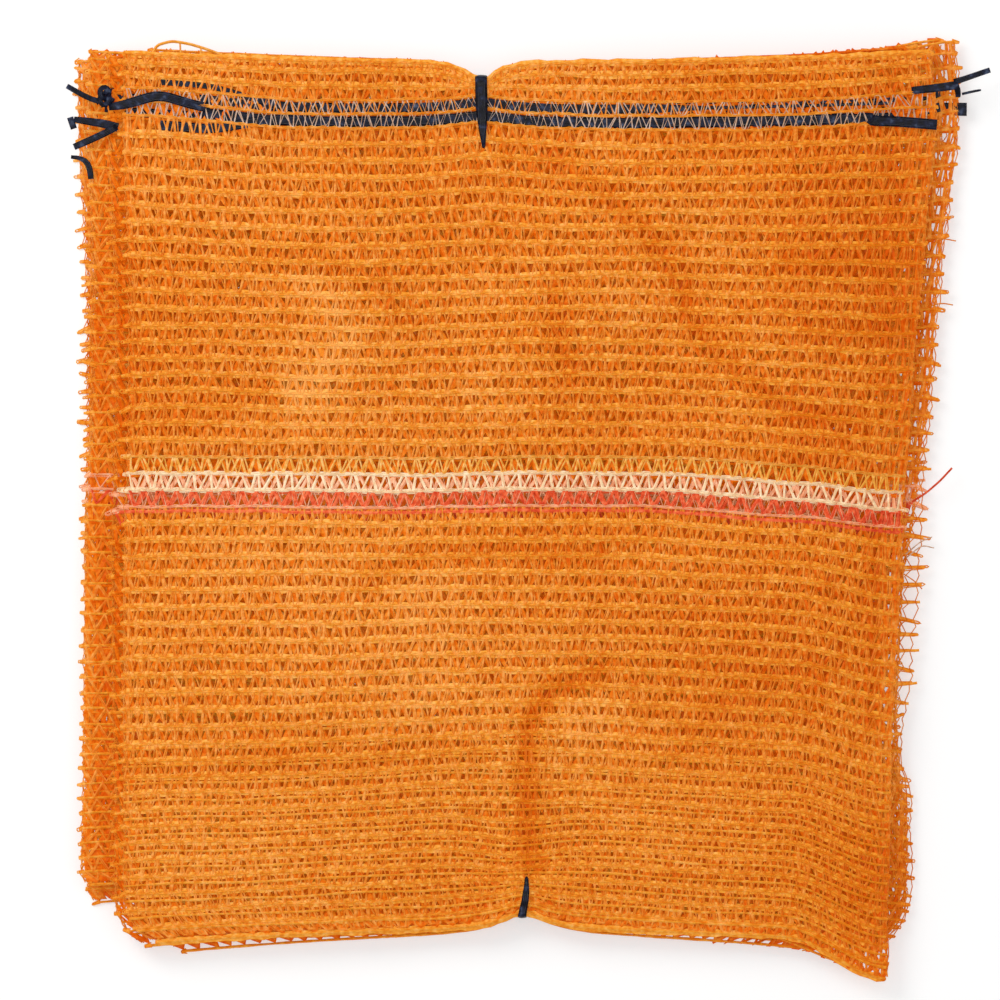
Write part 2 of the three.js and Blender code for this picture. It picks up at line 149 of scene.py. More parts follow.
# Ties and the band that the drawstring tapes lie in
TIE_PRESS = 0.32
TIE_PRESS_SPREAD = 45
TIE_LIFT = 1.5
TIE_LIFT_SPREAD = 24
TIE_FLAT = 4
MOUTH_TIE = dict(x=-9.5, hole=176, edge=211, decay=7)
FOOT_TIE = dict(x=12, hole=-188.5, edge=-207.5, decay=12.5)
TIES = (MOUTH_TIE, FOOT_TIE)
TIE_REACH = 0.8  # beyond the drawn-in edge
MOUTH_FADE = 12
SAG = 6  # of the rows above the foot tie
SAG_SPREAD = 22
SAG_MIDDLE = (-3, 18)  # from the tie's hole
RIGHT_SAG = 5  # of the rows towards the right
RIGHT_SAG_SPAN = (0.3, 1)  # shares across
RIGHT_SAG_DEPTH = (240, 120)  # middle and spread
LEFT_RISE = 3.5  # of the tapes' rows towards the left
LEFT_RISE_SPAN = (0.5, 0.95)
LEFT_RISE_DEPTH = (30, 26)
GATHER_RISE = 4
GATHER_DEPTH = 40
FOOT_FADE = 35
BAND_MIDDLE = 198.5
BAND_RUN_UP = 138
BAND_FOOT = 174.5
TAPE_DEPTHS = (3.5 * MOUTH_PITCH, 4.5 * MOUTH_PITCH)

# Places in the net
STITCHES = 96  # zigzag turns across a bag
FINE_STITCHES = 135  # of the second, thinner lap tape
CHAIN_STATIONS, TAUT_STATIONS, COVERED_STATIONS, SEAM_STATIONS = 273, 137, 64, 200
# Wander of the rows: how far, how much shorter along the bag, size, seed, and 1 where panels differ
DRIFTS = [(1.2, 1, 95, 300, 0), (0.5, 1, 38, 100, 1), (0.28, 3, 18, 200, 1)]
BACK_OFFSET = (1.2, 4.2)  # of the back's rows from the front's, in the body and near the foot
FOOT_ROWS = (300, 400)  # depths over which that changes
OFFSET_START = (0, 20)  # from the mouth and the foot
LEFT_INSET = (6, 3, 3)  # of every bag, on the left
INSET_DEPTHS = (180, 260, 330, 375)  # ends of the upper part and the next one, and the foot
MOUTH_INSET, MOUTH_INSET_DEPTHS = 0.5, (30, 130)  # share of the inset at the mouth
SHUT_SIDE, SHUT_FOOT = (2, 10), (0, 12)  # from a side and the foot, where the two panels come together
SHUT_SHARE = 0.7
FRINGE_SPAN, FRINGE_FALL = 4, 0.22  # from a side in, where a panel sinks
BACK_DROP = 0.8  # of the top bag's back panel below its front one
BACK_RISE = 0.9  # of its chains near the foot, up between the front's rows
FOOT_HEM = 0.42  # share of the last lane that lap tapes keep clear
HEM_END = (0.68, 0.75)  # share across where that ends
MOUTH_HEM = 0.3  # and of the first lane
EDGE_ROW = 1.4  # from mouth or foot to the outermost chain

# Chains
CHAIN_HALF = 0.62  # half height of a chain, and so of a panel
SEAM_PAST = 1  # furthest that a chain runs past its seam
PLAIN_SIZES, PLAIN_RISE = (0.45, 0.8), 0.42  # half widths from stitch to stitch, and half height
WHITE_SPREAD = 1.8  # times wider, of the stripe's white chains
TOP_SPREAD, TOP_RISE = 1.9, -0.25  # of the top panel's plain chains, below its knitted strands
# Strands of a knitted chain, taut and looped: stations, place beside it, swing and half width
STRANDS = [(TAUT_STATIONS, -0.4, 0.1, 0.26), (CHAIN_STATIONS, 0.35, 0.32, 0.3)]
STRAND_START = (0, 2)  # stations at its ends
STRAND_SWINGS, STRAND_SIZES, STRAND_RISE = (0.6, 1.3), (0.8, 1.2), 0.28
STRAND_LIFT = (0.3, 0.12)  # above the panel, and up and down

# Lap tapes
STEEP = 0.42  # share of a stitch that a lap tape runs along the chain at each side of a turn
SLANTED = 0.22  # in the stripe and over the drawstring tapes
STEEP_SIZES = (0.7, 1.15)
LADDER_SPAN = (1, 18)  # from the right seam, where upright legs turn into a zigzag
LADDER_DEPTHS, LADDER_FADE = (250, 330), 0.8  # and depths, and the share of them lost there
LADDER_RUNS = (0.35, 0.6)  # shares of a stitch along the upper and the lower chain
LOOSE, LOOSE_TOP, LOOSE_FINE = 0.27, 0.28, 0.3  # furthest of a turn from its place, in stitches
TURN_INSET = 0.1  # from a chain to the turns, in half lanes
LAP_SIZES, LAP_WAVER, LAP_TILT, LAP_MITRE = (0.7, 1.2), 0.2, 0.4, 0.8
YARN_RISE = 0.26  # half height of lap tapes, cut ends and seams
OUTER_HALF, FRONT_HALF, BACK_HALF = 0.8, 0.7, 1.3  # of covered panels
COVERED_SIZES = (0.85, 1.1)
TOP_PINK, LOWER_PINK = 0.7, 0.55  # share of that in the stripe
FINE_HALF, STRIP_FRONT, STRIP_BACK = 0.35, 0.6, 0.95  # where they stand out on the right and the left
FIRST_HALF, SECOND_HALF, PINK_HALF, THIRD_HALF = 0.62, 0.36, 0.22, 0.6  # of the top panel
LAID_SIZES = (0.88, 1.14)
SHADED = 0.75  # how much painted shade deepens the colour of bags under the top one

# Seams and cut ends
SEAM_ENDS = (0.2, 0.3)  # rows from the mouth and from the foot
SEAMS = [(-1, 0.3, 0.5), (1, 0.42, 0)]  # side, half width and sink
SEAM_WANDER = (0.6, 40, 60)  # how far, size and seed
SEAM_SWING, SEAM_SIZES, SEAM_LOOP = 0.6, (0.7, 1.3), 0.2  # of its strands, sideways and up and down
LEFT_FRAY = (-1.5, 1)  # shortest and longest cut end beyond a side
RIGHT_FRAY = (-1, 3.5)
FOOT_FRAY = 0.5  # share lost near the foot
SHORT_ENDS = (345, 20, 6)  # on the right: depth, spread and how much shorter
LONGEST_END = 12
END_LEAN, END_LENGTHS, END_WIDTHS = (-0.1, 0.15), (0.6, 1.15), (0.5, 1.1)  # mean and spread, and ranges
END_FALL, END_LIFT, END_LOWEST = 0.12, 0.1, 0.4  # for each millimetre out, and of its middle
# Threads between the ends: shares of their length between chains and at one, high up and lower down
THREADS = [((0.1, 0.1), (0.35, 0.35)), ((0.5, 0.75), (0.3, 0.6))]
THREAD_DEPTHS = (180, 260)
THREAD_WAVER, THREAD_HALF, THREAD_RISE = (0.4, 1), 0.24, 0.2
STRAY_RISE = 0.8  # half height of a loose yarn, by its half width

# Colours of the yarns
# The last of them is the lap tape's copy in painted shade, for covered panels
CHAIN, LAP, YELLOW, WHITE, RED, PALE, PINK, PAINTED_SHADE_COPY = range(8)
SLIM_CHAINS = (3, 4, 5, 25, 26, 27, 28)
CHAIN_STRIPE = {25: YELLOW, 26: WHITE, 27: WHITE, 28: PINK}
LANE_STRIPE = {25: YELLOW, 26: WHITE, 27: RED}
LOWER_CHAINS = {26: PINK, 27: PINK}  # the stripe of the bags below, which is duller
LOWER_LANES = {26: PINK, 27: RED}  # and of the top bag's back
COVERED_CHAINS = {27: RED, 28: RED}  # of that back
RED_LANE = 27  # which has a third lap tape
RED_INLAY = 28.3  # row of the red yarn along the stripe
INLAY_HALF, INLAY_RISE = 0.8, 0.3
# Thin lap tapes in the drawstring tapes' lanes: half widths, finishes and stitches
TAPE_LAPS = {
    3: [(0.36, LAP, FINE_STITCHES), (0.3, PALE, STITCHES), (0.3, PALE, STITCHES)],
    4: [(0.3, PALE, FINE_STITCHES), (0.22, PALE, STITCHES)],
}

# Outlines of a yarn, seen along it
FLAT_RING = np.array([(1, 0), (0, 1), (-1, 0), (0, -1)], float)
THREE_RING = np.array([(1, -0.5), (0, 1), (-1, -0.5)], float)

# Seeds, to which each panel or bag adds its number
CHAIN_SEED, LAP_SEED, KNIT_SEED, LAID_SEED, SEAM_SEED, FRAY_SEED = 1000, 2000, 3000, 4000, 5000, 6000

# A cut chain end, a tapered rod and two looped yarns: places along it and beside it, and half widths
FRAYED_END = [
    ((-0.1, 0.4, 0.7, 0.9), (0, 0.2, -0.2, 0), (0.9, 0.75, 0.7, 0.65)),
    ((-0.2, 0.35, 0.8, 0.9, 0.8, 0.35, -0.2), (-1.6, -1.1, -0.9, -0.1, 0.6, 0.6, 0.7), 0.28),
    ((-0.2, 0.5, 0.9, 0.95, 0.9, 0.5, -0.2), (-0.7, -0.6, -0.6, 0.1, 0.9, 1.1, 1.5), 0.28),
]

# Loose yarns: half width, finish, and points of plan x and y, bags below and lift
STRAYS = [
    (0.5, RED, [(206, -1, 3, 0), (213, 3.5, 3, 0.2), (220, 9.5, 3, 0.8), (226, 16, 3, 0.6)]),
    (0.3, LAP, [(214, 130.5, 3, 0), (220, 131, 3, 0.4), (228, 129.5, 3, 0)]),
    (0.3, LAP, [(214, 97, 3, 0), (221, 98.5, 3, 0.4), (226.5, 97.5, 3, 0)]),
    (0.28, PALE, [(203, -27, 3, 0), (210, -21, 3, 0.6), (216, -18.5, 3, 0.6)]),
    (0.28, PALE, [(203, -29, 3, 0), (211, -22.5, 3, 0.6), (217, -24, 3, 0.4)]),
    (0.28, LAP, [(202, -37, 3, 0), (208, -41, 3, 0.5), (211, -44.5, 3, 0.3)]),
    (0.7, CHAIN, [(-174, 223, 5, 0), (-171.5, 227.5, 5, 0.5), (-164, 229.5, 5, 1), (-155, 228, 5, 1),
                  (-147, 225.5, 5, 0.5), (-139, 222.5, 5, 0)]),
    (0.4, CHAIN, [(-173, 221, 5, 0), (-172, 227, 5, 0.5)]),
    (0.4, CHAIN, [(-159.5, 221, 5, 0), (-160, 228.5, 5, 0.5)]),
    (0.4, CHAIN, [(-150, 220, 5, 0), (-149.5, 226, 5, 0.5)]),
]

TINY = 1e-6
RIPPLES, RIPPLE_STRETCH, RIPPLE_SCALE = 5, (0.7, 1.5), 3
FEWEST_STATIONS, ROUNDINGS = 6, 3
SHORT_SPACING = 1.2  # of stations along short tapes and yarns

# From the stack's plan to the frame of the solids
tie_low, tie_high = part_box("tie_mouth")
SHIFT = np.array([
    1000 * (tie_low.x + tie_high.x) / 2 - MOUTH_TIE["x"],
    1000 * tie_high.y - MOUTH_TIE["edge"] - TIE_REACH,
    0,
])


def in_frame(points):
    """Points in millimetres of the stack's plan, in metres in the frame of the solids."""
    return (np.asarray(points, float) + SHIFT) / 1000


def placed(name, data):
    made = bpy.data.objects.new(name, data)
    bpy.context.scene.collection.objects.link(made)
    return made


def smooth(value, low, high):
    t = np.clip((np.asarray(value, float) - low) / (high - low), 0, 1)
    return t * t * (3 - 2 * t)


def hill(distance, spread):
    return np.exp(-((distance / spread) ** 2))


def lerp(a, b, t):
    return a + (b - a) * t


def ripple(x, y, size, seed):
    """A gentle uneven field between about -1 and 1, with bumps of a size."""
    draw = seeded(seed)
    total = 0
    for _ in range(RIPPLES):
        angle, phase = draw.uniform(0, 2 * np.pi), draw.uniform(0, 2 * np.pi)
        length = size * draw.uniform(*RIPPLE_STRETCH)
        total = total + np.sin((x * np.cos(angle) + y * np.sin(angle)) * np.pi / length + phase)
    return total / RIPPLE_SCALE


# The stack's heights


def tie_distance(tie, x, y):
    across = np.maximum(0, np.abs(x - tie["x"]) - TIE_FLAT)
    nearest = np.clip(y, min(tie["hole"], tie["edge"]), max(tie["hole"], tie["edge"]))
    return np.hypot(across, y - nearest)


def levelled(y):
    return lerp(y, BAND_MIDDLE, smooth(y, BAND_RUN_UP, BAND_FOOT))


def bag_thickness(x, along):
    y = levelled(along)
    inset = np.minimum(STACK_HALF[0] - np.abs(x), STACK_HALF[1] - np.abs(y))
    share = 1 - EDGE_PRESS * (1 - smooth(inset, 0, EDGE_SPAN))
    share = with_spots(share, BUMPS, x, y)
    for tie in TIES:
        share = share - TIE_PRESS * hill(tie_distance(tie, x, y), TIE_PRESS_SPREAD)
    return BAG_THICK * np.maximum(share, THINNEST)


def underside(x, along):
    y = levelled(along)
    return np.maximum(*(TIE_LIFT * hill(tie_distance(tie, x, y), TIE_LIFT_SPREAD) for tie in TIES))


def with_spots(total, spots, x, y):
    """A value with round spots added: plan x and y, spread and how far."""
    for sx, sy, spread, far in spots:
        total = total + far * hill(np.hypot(x - sx, y - sy), spread)
    return total


def line_distance(x, y, points):
    """How far from a line through points in plan."""
    nearest = np.inf
    for (ax, ay), (bx, by) in zip(points, points[1:]):
        dx, dy = bx - ax, by - ay
        along = np.clip(((x - ax) * dx + (y - ay) * dy) / (dx * dx + dy * dy), 0, 1)
        nearest = np.minimum(nearest, np.hypot(x - ax - along * dx, y - ay - along * dy))
    return nearest


def with_folds(total, folds, x, y):
    for points, spread, deep in folds:
        total = total - deep * hill(line_distance(x, y, points), spread)
    return total


def creases(x, y):
    """Small folds of the top of the stack, which die away towards the table."""
    ridge = RIDGE["rise"] * hill(x - RIDGE["x"] - RIDGE["lean"] * (y - RIDGE["y"]), RIDGE["spread"])
    total = ridge * smooth(y, *RIDGE_START) * (1 - smooth(y, *RIDGE_END))
    for rise, shorter, size, seed in WAVES:
        total = total + rise * ripple(x, shorter * y, size, seed)
    total = with_folds(with_spots(total, SWELLS, x, y), FOLDS[:SHARP_FOLDS], x, y)
    dx, dy = x - FOOT_TIE["x"], np.abs(y - FOOT_TIE["edge"]) + TINY
    reach = np.hypot(dx, dy)
    fan = FAN["rise"] * np.cos(FAN["folds"] * np.arctan2(dx, dy))
    total = total + fan * np.exp(-reach / FAN["fade"]) * smooth(reach, *FAN["start"])
    return total * (1 - smooth(y, BAND_RUN_UP, BAND_FOOT) * BAND_FLAT)


def storey(count, x, y):
    """Height of the top of so many bags of the stack."""
    height = underside(x, y) + count * bag_thickness(x, y) + (count - 1) * GAP
    return height + creases(x, y) * np.maximum(count - 1, 0) / TOP_BAG


def tone_and_painted_light(x, y):
    """How much paler the net is, or below zero deeper: random tone, deeper to the right, painted highlights and
    painted shade.
    """
    far, size, seed = PATCHES
    total = far * ripple(x, y, size, seed)
    far, span = RIGHT_DEEP
    total = total - far * smooth(x, *span)
    far, span = LEFT_PALE
    total = total + far * (1 - smooth(x, *span))
    for sx, spread, far, span, shares in EDGE_SHADE_STRIPS:
        total = total - far * hill(x - sx, spread) * lerp(*shares, smooth(y, *span))
    return with_folds(with_spots(total, SHEEN_AND_SHADE_SPOTS, x, y), FOLDS, x, y)


# A bag's plan


def draw_in(tie, x, decay):
    return np.exp(-np.maximum(0, np.abs(x - tie["x"]) - TIE_FLAT) / decay)


def rounded_off(radius, rise):
    part = np.clip(1 - rise / radius, 0, 1)
    return radius * (1 - np.sqrt(1 - part ** 2))


def right_half(bag, depth):
    flare = MOUTH_FLARE * np.clip(1 - depth / BAG_HEIGHT, 0, None) ** FLARE_BEND
    half = HALF_RIGHT + flare - MOUTH_TUCK * hill(depth, TUCK_DEPTH)
    return half - rounded_off(bag["cut"], BAG_HEIGHT - depth)


def left_half(bag, depth):
    return HALF_LEFT - rounded_off(bag["corner"], BAG_HEIGHT - depth)


def bag_plan(bag, share, depth):
    """Plan of a point of a bag: share across from -1 to 1, and depth below the mouth along the net."""
    up = 1 - depth / BAG_HEIGHT
    down = 1 - up
    rise = BAG_HEIGHT - depth
    arch = 1 - share ** 2
    x = share * np.where(share < 0, left_half(bag, depth), right_half(bag, depth))
    y = (
        BAG_HEIGHT / 2 - depth
        + up ** 2 * (bag["lift"] * smooth(share, LIFT_START, 1) - MOUTH_SAG * arch)
        + down ** 2 * (FOOT_ARCH * arch + bag["hitch"] * smooth(-share, *HITCH_SPAN))
        - down ** 2 * bag["droop"] * smooth(share, DROOP_START, 1)
    )
    turn = np.radians(bag["turn"])
    px = x * np.cos(turn) - y * np.sin(turn) + bag["x"]
    py = x * np.sin(turn) + y * np.cos(turn) + bag["y"]
    mouth_pull = (MOUTH_TIE["edge"] - py - depth) * hill(depth, MOUTH_FADE)
    gather = GATHER_RISE * (depth / GATHER_DEPTH) * np.exp(1 - depth / GATHER_DEPTH)
    foot_pull = (FOOT_TIE["edge"] - py + rise) * np.exp(-rise / FOOT_FADE)
    py = py + (mouth_pull + gather) * draw_in(MOUTH_TIE, px, MOUTH_TIE["decay"] + depth / 2)
    py = py + foot_pull * draw_in(FOOT_TIE, px, FOOT_TIE["decay"] + rise / 2)
    return px, py


def row_depth(row):
    """Depth of a chain below the mouth; the rows next to the mouth lie closer."""
    row = np.asarray(row, float)
    body = MOUTH_ROWS * MOUTH_PITCH + (row - MOUTH_ROWS) * ROW_PITCH
    return np.where(row < MOUTH_ROWS, row * MOUTH_PITCH, body)


def edge_distance(bag, share, depth):
    """How far a point is in from the nearer side of its bag."""
    return np.where(share < 0, (1 + share) * left_half(bag, depth), (1 - share) * right_half(bag, depth))


def seam_inset(level, side, depth):
    """From a bag's side to its seam."""
    upper, lower, foot = LEFT_INSET if side < 0 else BAGS[level]["inset"]
    inset = np.interp(depth, INSET_DEPTHS, (upper, lower, lower, foot))
    return inset * lerp(MOUTH_INSET, 1, smooth(depth, *MOUTH_INSET_DEPTHS))


def seam_share(level, side, depth):
    """Share across at which a side seam lies."""
    half = left_half(BAGS[level], depth) if side < 0 else right_half(BAGS[level], depth)
    return side * (1 - seam_inset(level, side, depth) / half)


def panel_height(level, front, share, depth, x, y):
    """Height of the middle of a bag's front or back panel. The panels meet at the seams and the foot fold."""
    low = storey(level, x, y) + GAP + CHAIN_HALF
    high = storey(level + 1, x, y) - CHAIN_HALF
    if level == TOP_BAG:
        low = np.maximum(low, high - BACK_DROP)
    side = edge_distance(BAGS[level], share, depth)
    shut = np.maximum(1 - smooth(side, *SHUT_SIDE), 1 - smooth(BAG_HEIGHT - depth, *SHUT_FOOT))
    middle = (low + high) / 2
    own = high if front else low
    droop = FRINGE_FALL * np.maximum(0, FRINGE_SPAN - side) * level / TOP_BAG
    return np.maximum(lerp(own, middle, SHUT_SHARE * shut) - droop, CHAIN_HALF)


# Rods: many closed yarns joined in one mesh


class Yarns:
    """Collects closed rods and joins them in one mesh, with a finish for each rod."""

    def __init__(self):
        self.points, self.loops, self.sizes, self.finishes = [], [], [], []
        self.count = 0

    def add(self, centre, across, rise, ring, finish):
        """centre is (rods, stations, 3), across the half width vectors, rise the half height."""
        rods, stations, _ = centre.shape
        sides = len(ring)
        points = np.repeat(centre[:, :, None, :], sides, axis=2)
        points += ring[:, 0, None] * across[:, :, None, :]
        points[..., 2] += ring[:, 1] * np.broadcast_to(rise, (rods, stations))[..., None]
        index = self.count + np.arange(rods * stations * sides).reshape(rods, stations, sides)
        turned = np.roll(index, -1, axis=2)
        quads = np.stack([index[:, :-1], turned[:, :-1], turned[:, 1:], index[:, 1:]], axis=-1)
        caps = np.concatenate([index[:, 0, ::-1], index[:, -1]], axis=0)
        finish = np.broadcast_to(finish, rods)
        self.points.append(points.reshape(-1, 3))
        self.loops += [quads.reshape(-1), caps.reshape(-1)]
        self.sizes += [np.full(quads.size // 4, 4), np.full(len(caps), sides)]
        self.finishes += [np.repeat(finish, (stations - 1) * sides), np.tile(finish, 2)]
        self.count += rods * stations * sides

    def lay(self, centre, half, rise, finish, ring=THREE_RING):
        self.add(centre, sideways(centre[..., :2], half), rise, ring, finish)

    def piece(self, name, finishes, shaded=0):
        """shaded is how much painted shade deepens the net's colour where the top bag covers it."""
        points = in_frame(np.concatenate(self.points)).astype(np.float32)
        loops = np.concatenate(self.loops).astype(np.int32)
        sizes = np.concatenate(self.sizes)
        mesh = bpy.data.meshes.new(name)
        mesh.vertices.add(len(points))
        mesh.vertices.foreach_set("co", points.ravel())
        mesh.loops.add(len(loops))
        mesh.loops.foreach_set("vertex_index", loops)
        mesh.polygons.add(len(sizes))
        starts = np.concatenate([[0], np.cumsum(sizes)[:-1]]).astype(np.int32)
        mesh.polygons.foreach_set("loop_start", starts)
        mesh.polygons.foreach_set("material_index", np.concatenate(self.finishes).astype(np.int32))
        mesh.polygons.foreach_set("use_smooth", np.zeros(len(sizes), bool))
        x, y, _ = np.concatenate(self.points).T
        # Each point carries its random tone with painted highlights and painted shade, deeper still where the
        # top bag covers it.
        shade = tone_and_painted_light(x, y) - shaded * smooth(x, *COVER_LEFT) * (1 - smooth(x, *COVER_RIGHT))
        depth = mesh.attributes.new("tone_and_painted_light", "FLOAT", "POINT")
        depth.data.foreach_set("value", shade.astype(np.float32))
        plan = mesh.uv_layers.new(name="OFBake")
        low, high = points.min(0), points.max(0)
        plan.data.foreach_set("uv", ((points - low) / (high - low))[loops, :2].ravel())
        mesh.update(calc_edges=True)
        for finish in finishes:
            mesh.materials.append(finish)
        return placed(name, mesh)


def sideways(plan, half, sharpest=1.1):
    """Half width vectors square to paths in plan, mitred at their bends."""
    step = np.diff(plan, axis=1)
    step = step / np.maximum(np.linalg.norm(step, axis=2, keepdims=True), TINY)
    normal = np.stack([-step[..., 1], step[..., 0]], axis=-1)
    before = np.concatenate([normal[:, :1], normal], axis=1)
    after = np.concatenate([normal, normal[:, -1:]], axis=1)
    both = before + after
    size = np.maximum(np.linalg.norm(both, axis=2, keepdims=True), sharpest)
    return np.pad(both * 2 / size ** 2 * np.asarray(half)[..., None], ((0, 0), (0, 0), (0, 1)))


def resampled(table, spacing):
    """Rows of values along a plan path, evenly spaced and with rounded bends."""
    table = np.asarray(table, float)
    length = np.concatenate([[0], np.cumsum(np.hypot(*np.diff(table[:, :2], axis=0).T))])
    where = np.linspace(0, length[-1], max(FEWEST_STATIONS, int(length[-1] / spacing)))
    even = np.stack([np.interp(where, length, column) for column in table.T], axis=1)
    for _ in range(ROUNDINGS):
        even[1:-1] = (even[:-2] + 2 * even[1:-1] + even[2:]) / 4
    return even


# Finishes

NOISE_RANGE = (0.3, 0.7)  # of most of a noise
YARN_STOPS = (0.28, 0.5, 0.74)
TAPE_STOPS = (0.42, 0.58, 0.78)
# share of the points' tone, painted highlights and painted shade in a yarn's colour
TONE_AND_LIGHT_SHARE = 0.2


def new_finish(name):
    finish = bpy.data.materials.new(name)
    finish.use_nodes = True
    return finish, finish.node_tree, finish.node_tree.nodes["Principled BSDF"]


def feed(tree, node, values, sources):
    """Sets some inputs of a shader node and joins others to what feeds them."""
    for name, value in values.items():
        node.inputs[name].default_value = value
    for name, source in sources.items():
        tree.links.new(source, node.inputs[name])
    return node.outputs


def uneven(tree, scale, detail):
    """A noise over the piece."""
    where = tree.nodes.new("ShaderNodeTexCoord").outputs["Object"]
    noise = tree.nodes.new("ShaderNodeTexNoise")
    return feed(tree, noise, {"Scale": scale, "Detail": detail}, {"Vector": where})["Fac"]


def ramp(tree, source, places, colours):
    """Three colours along a value."""
    made = tree.nodes.new("ShaderNodeValToRGB")
    stops = made.color_ramp.elements
    for stop, at in ((stops[0], 0), (stops[1], 2)):
        stop.position, stop.color = places[at], (*colours[at], 1)
    stops.new(places[1]).color = (*colours[1], 1)
    return feed(tree, made, {}, {"Fac": source})["Color"]


def between(tree, source, low, high):
    """A noise brought to another range."""
    values = {"From Min": NOISE_RANGE[0], "From Max": NOISE_RANGE[1], "To Min": low, "To Max": high}
    return feed(tree, tree.nodes.new("ShaderNodeMapRange"), values, {"Value": source})["Result"]


def bumps(tree, source, strength, height):
    values = {"Strength": strength, "Distance": height}
    return feed(tree, tree.nodes.new("ShaderNodeBump"), values, {"Height": source})["Normal"]


def own_value(tree, name):
    """A value that each point of the mesh carries."""
    made = tree.nodes.new("ShaderNodeAttribute")
    made.attribute_name = name
    return made.outputs


def yarn_finish(name, deep, plain, pale, gloss=0.13):
    """Drawn plastic yarn: uneven in colour from stitch to stitch and paler or deeper by the painted highlights
    and painted shade that each point carries, with fine fibres and a soft gloss.
    """
    finish, tree, shader = new_finish(name)
    patch = uneven(tree, scale=420, detail=2)
    shade = tree.nodes.new("ShaderNodeMath")
    shade.operation = "MULTIPLY_ADD"
    shade = feed(tree, shade, {1: TONE_AND_LIGHT_SHARE}, {0: own_value(tree, "tone_and_painted_light")["Fac"], 2: patch})["Value"]
    fibre = uneven(tree, scale=2600, detail=2)
    feed(tree, shader, {"Specular IOR Level": gloss}, {
        "Base Color": ramp(tree, shade, YARN_STOPS, (deep, plain, pale)),
        "Roughness": between(tree, patch, low=0.52, high=0.36),
        "Normal": bumps(tree, fibre, strength=0.35, height=0.00025),
    })
    return finish


def tape_finish(name, deep, plain, pale, gloss=0.16):
    """Woven navy tape: lengthwise strands and a glossy surface, with grey-blue patches of painted sheen in its
    colour.
    """
    finish, tree, shader = new_finish(name)
    patch = uneven(tree, scale=300, detail=3)
    strands = tree.nodes.new("ShaderNodeTexWave")
    strands.bands_direction = "X"
    where = own_value(tree, "weave")["Vector"]
    strands = feed(tree, strands, {"Scale": 0.45, "Distortion": 1.2}, {"Vector": where})["Fac"]
    feed(tree, shader, {"Specular IOR Level": gloss}, {
        "Base Color": ramp(tree, patch, TAPE_STOPS, (deep, plain, pale)),
        "Roughness": between(tree, patch, low=0.3, high=0.55),
        "Normal": bumps(tree, strands, strength=0.5, height=0.0002),
    })
    return finish


net_finishes = [
    yarn_finish("chain_yarn", (0.78, 0.21, 0.006), (0.87, 0.335, 0.028), (0.97, 0.48, 0.11)),
    yarn_finish("lap_tape", (0.70, 0.145, 0.005), (0.80, 0.245, 0.022), (0.92, 0.38, 0.085)),
    yarn_finish("pale_yellow_yarn", (0.74, 0.30, 0.03), (0.86, 0.40, 0.065), (0.98, 0.60, 0.22)),
    yarn_finish("white_yarn", (0.80, 0.50, 0.26), (0.92, 0.67, 0.40), (1, 0.82, 0.57)),
    yarn_finish("red_yarn", (0.58, 0.04, 0.008), (0.78, 0.095, 0.026), (0.92, 0.22, 0.08)),
    yarn_finish("thin_lap_tape", (0.54, 0.30, 0.17), (0.68, 0.46, 0.33), (0.80, 0.64, 0.54)),
    yarn_finish("pink_yarn", (0.82, 0.30, 0.13), (0.92, 0.42, 0.22), (1, 0.58, 0.36)),
    # the lap tape's copy in painted shade, deeper and less glossy, for covered panels' chains and laps
    yarn_finish("lap_tape_in_painted_shade", (0.67, 0.09, 0.001), (0.79, 0.16, 0.004), (0.88, 0.27, 0.02), 0.04),
]
# The navy tape's palest colour is painted sheen: grey-blue highlights on its gloss.
navy_tape = tape_finish("navy_tape", (0.002, 0.002, 0.006), (0.009, 0.012, 0.032), (0.07, 0.095, 0.16))


# The net


def row_drift(level, front, row, share):
    """How far a chain wanders from its row, along the bag."""
    panel = 2 * level + front
    return sum(
        far * ripple(share * HALF_LEFT, np.asarray(row) * shorter * ROW_PITCH, size, seed + own * panel)
        for far, shorter, size, seed, own in DRIFTS
    )


def row_sag(share, depth):
    """How far rows hang towards the right, less how far the tapes' rows rise towards the left."""
    middle, spread = RIGHT_SAG_DEPTH
    sag = RIGHT_SAG * smooth(share, *RIGHT_SAG_SPAN) * hill(depth - middle, spread)
    middle, spread = LEFT_RISE_DEPTH
    return sag - LEFT_RISE * smooth(-share, *LEFT_RISE_SPAN) * hill(depth - middle, spread)


def net_place(level, front, rows, share):
    """Points of a panel: rows below the mouth and shares across. Back rows lie between the front ones."""
    depth = row_depth(rows) + row_drift(level, front, rows, share)
    if not front:
        offset = lerp(*BACK_OFFSET, smooth(depth, *FOOT_ROWS))
        depth = depth + offset * smooth(BAG_HEIGHT - depth, *OFFSET_START) * smooth(depth, *OFFSET_START)
    depth = depth + row_sag(share, depth)
    x, y = bag_plan(BAGS[level], share, np.clip(depth, EDGE_ROW, BAG_HEIGHT - EDGE_ROW))
    sag = SAG * hill(x - FOOT_TIE["x"] - SAG_MIDDLE[0], SAG_SPREAD)
    depth = depth + sag * hill(y - FOOT_TIE["hole"] - SAG_MIDDLE[1], SAG_SPREAD)
    depth = np.clip(depth, EDGE_ROW, BAG_HEIGHT - EDGE_ROW)
    x, y = bag_plan(BAGS[level], share, depth)
    return np.stack([x, y, panel_height(level, front, share, depth, x, y)], axis=-1)


def row_finishes(stripe, rows, level, plain):
    return np.array([stripe.get(int(row) - BAGS[level]["stripe"], plain) for row in rows])


def chain_shares(level, rows, stations, draw):
    """Shares across along each chain, from seam to seam."""
    depth = row_depth(rows)
    left = seam_share(level, -1, depth) - draw.uniform(0, SEAM_PAST, len(rows)) / HALF_LEFT
    right = seam_share(level, 1, depth) + draw.uniform(0, SEAM_PAST, len(rows)) / HALF_RIGHT
    return lerp(left[:, None], right[:, None], np.linspace(0, 1, stations))


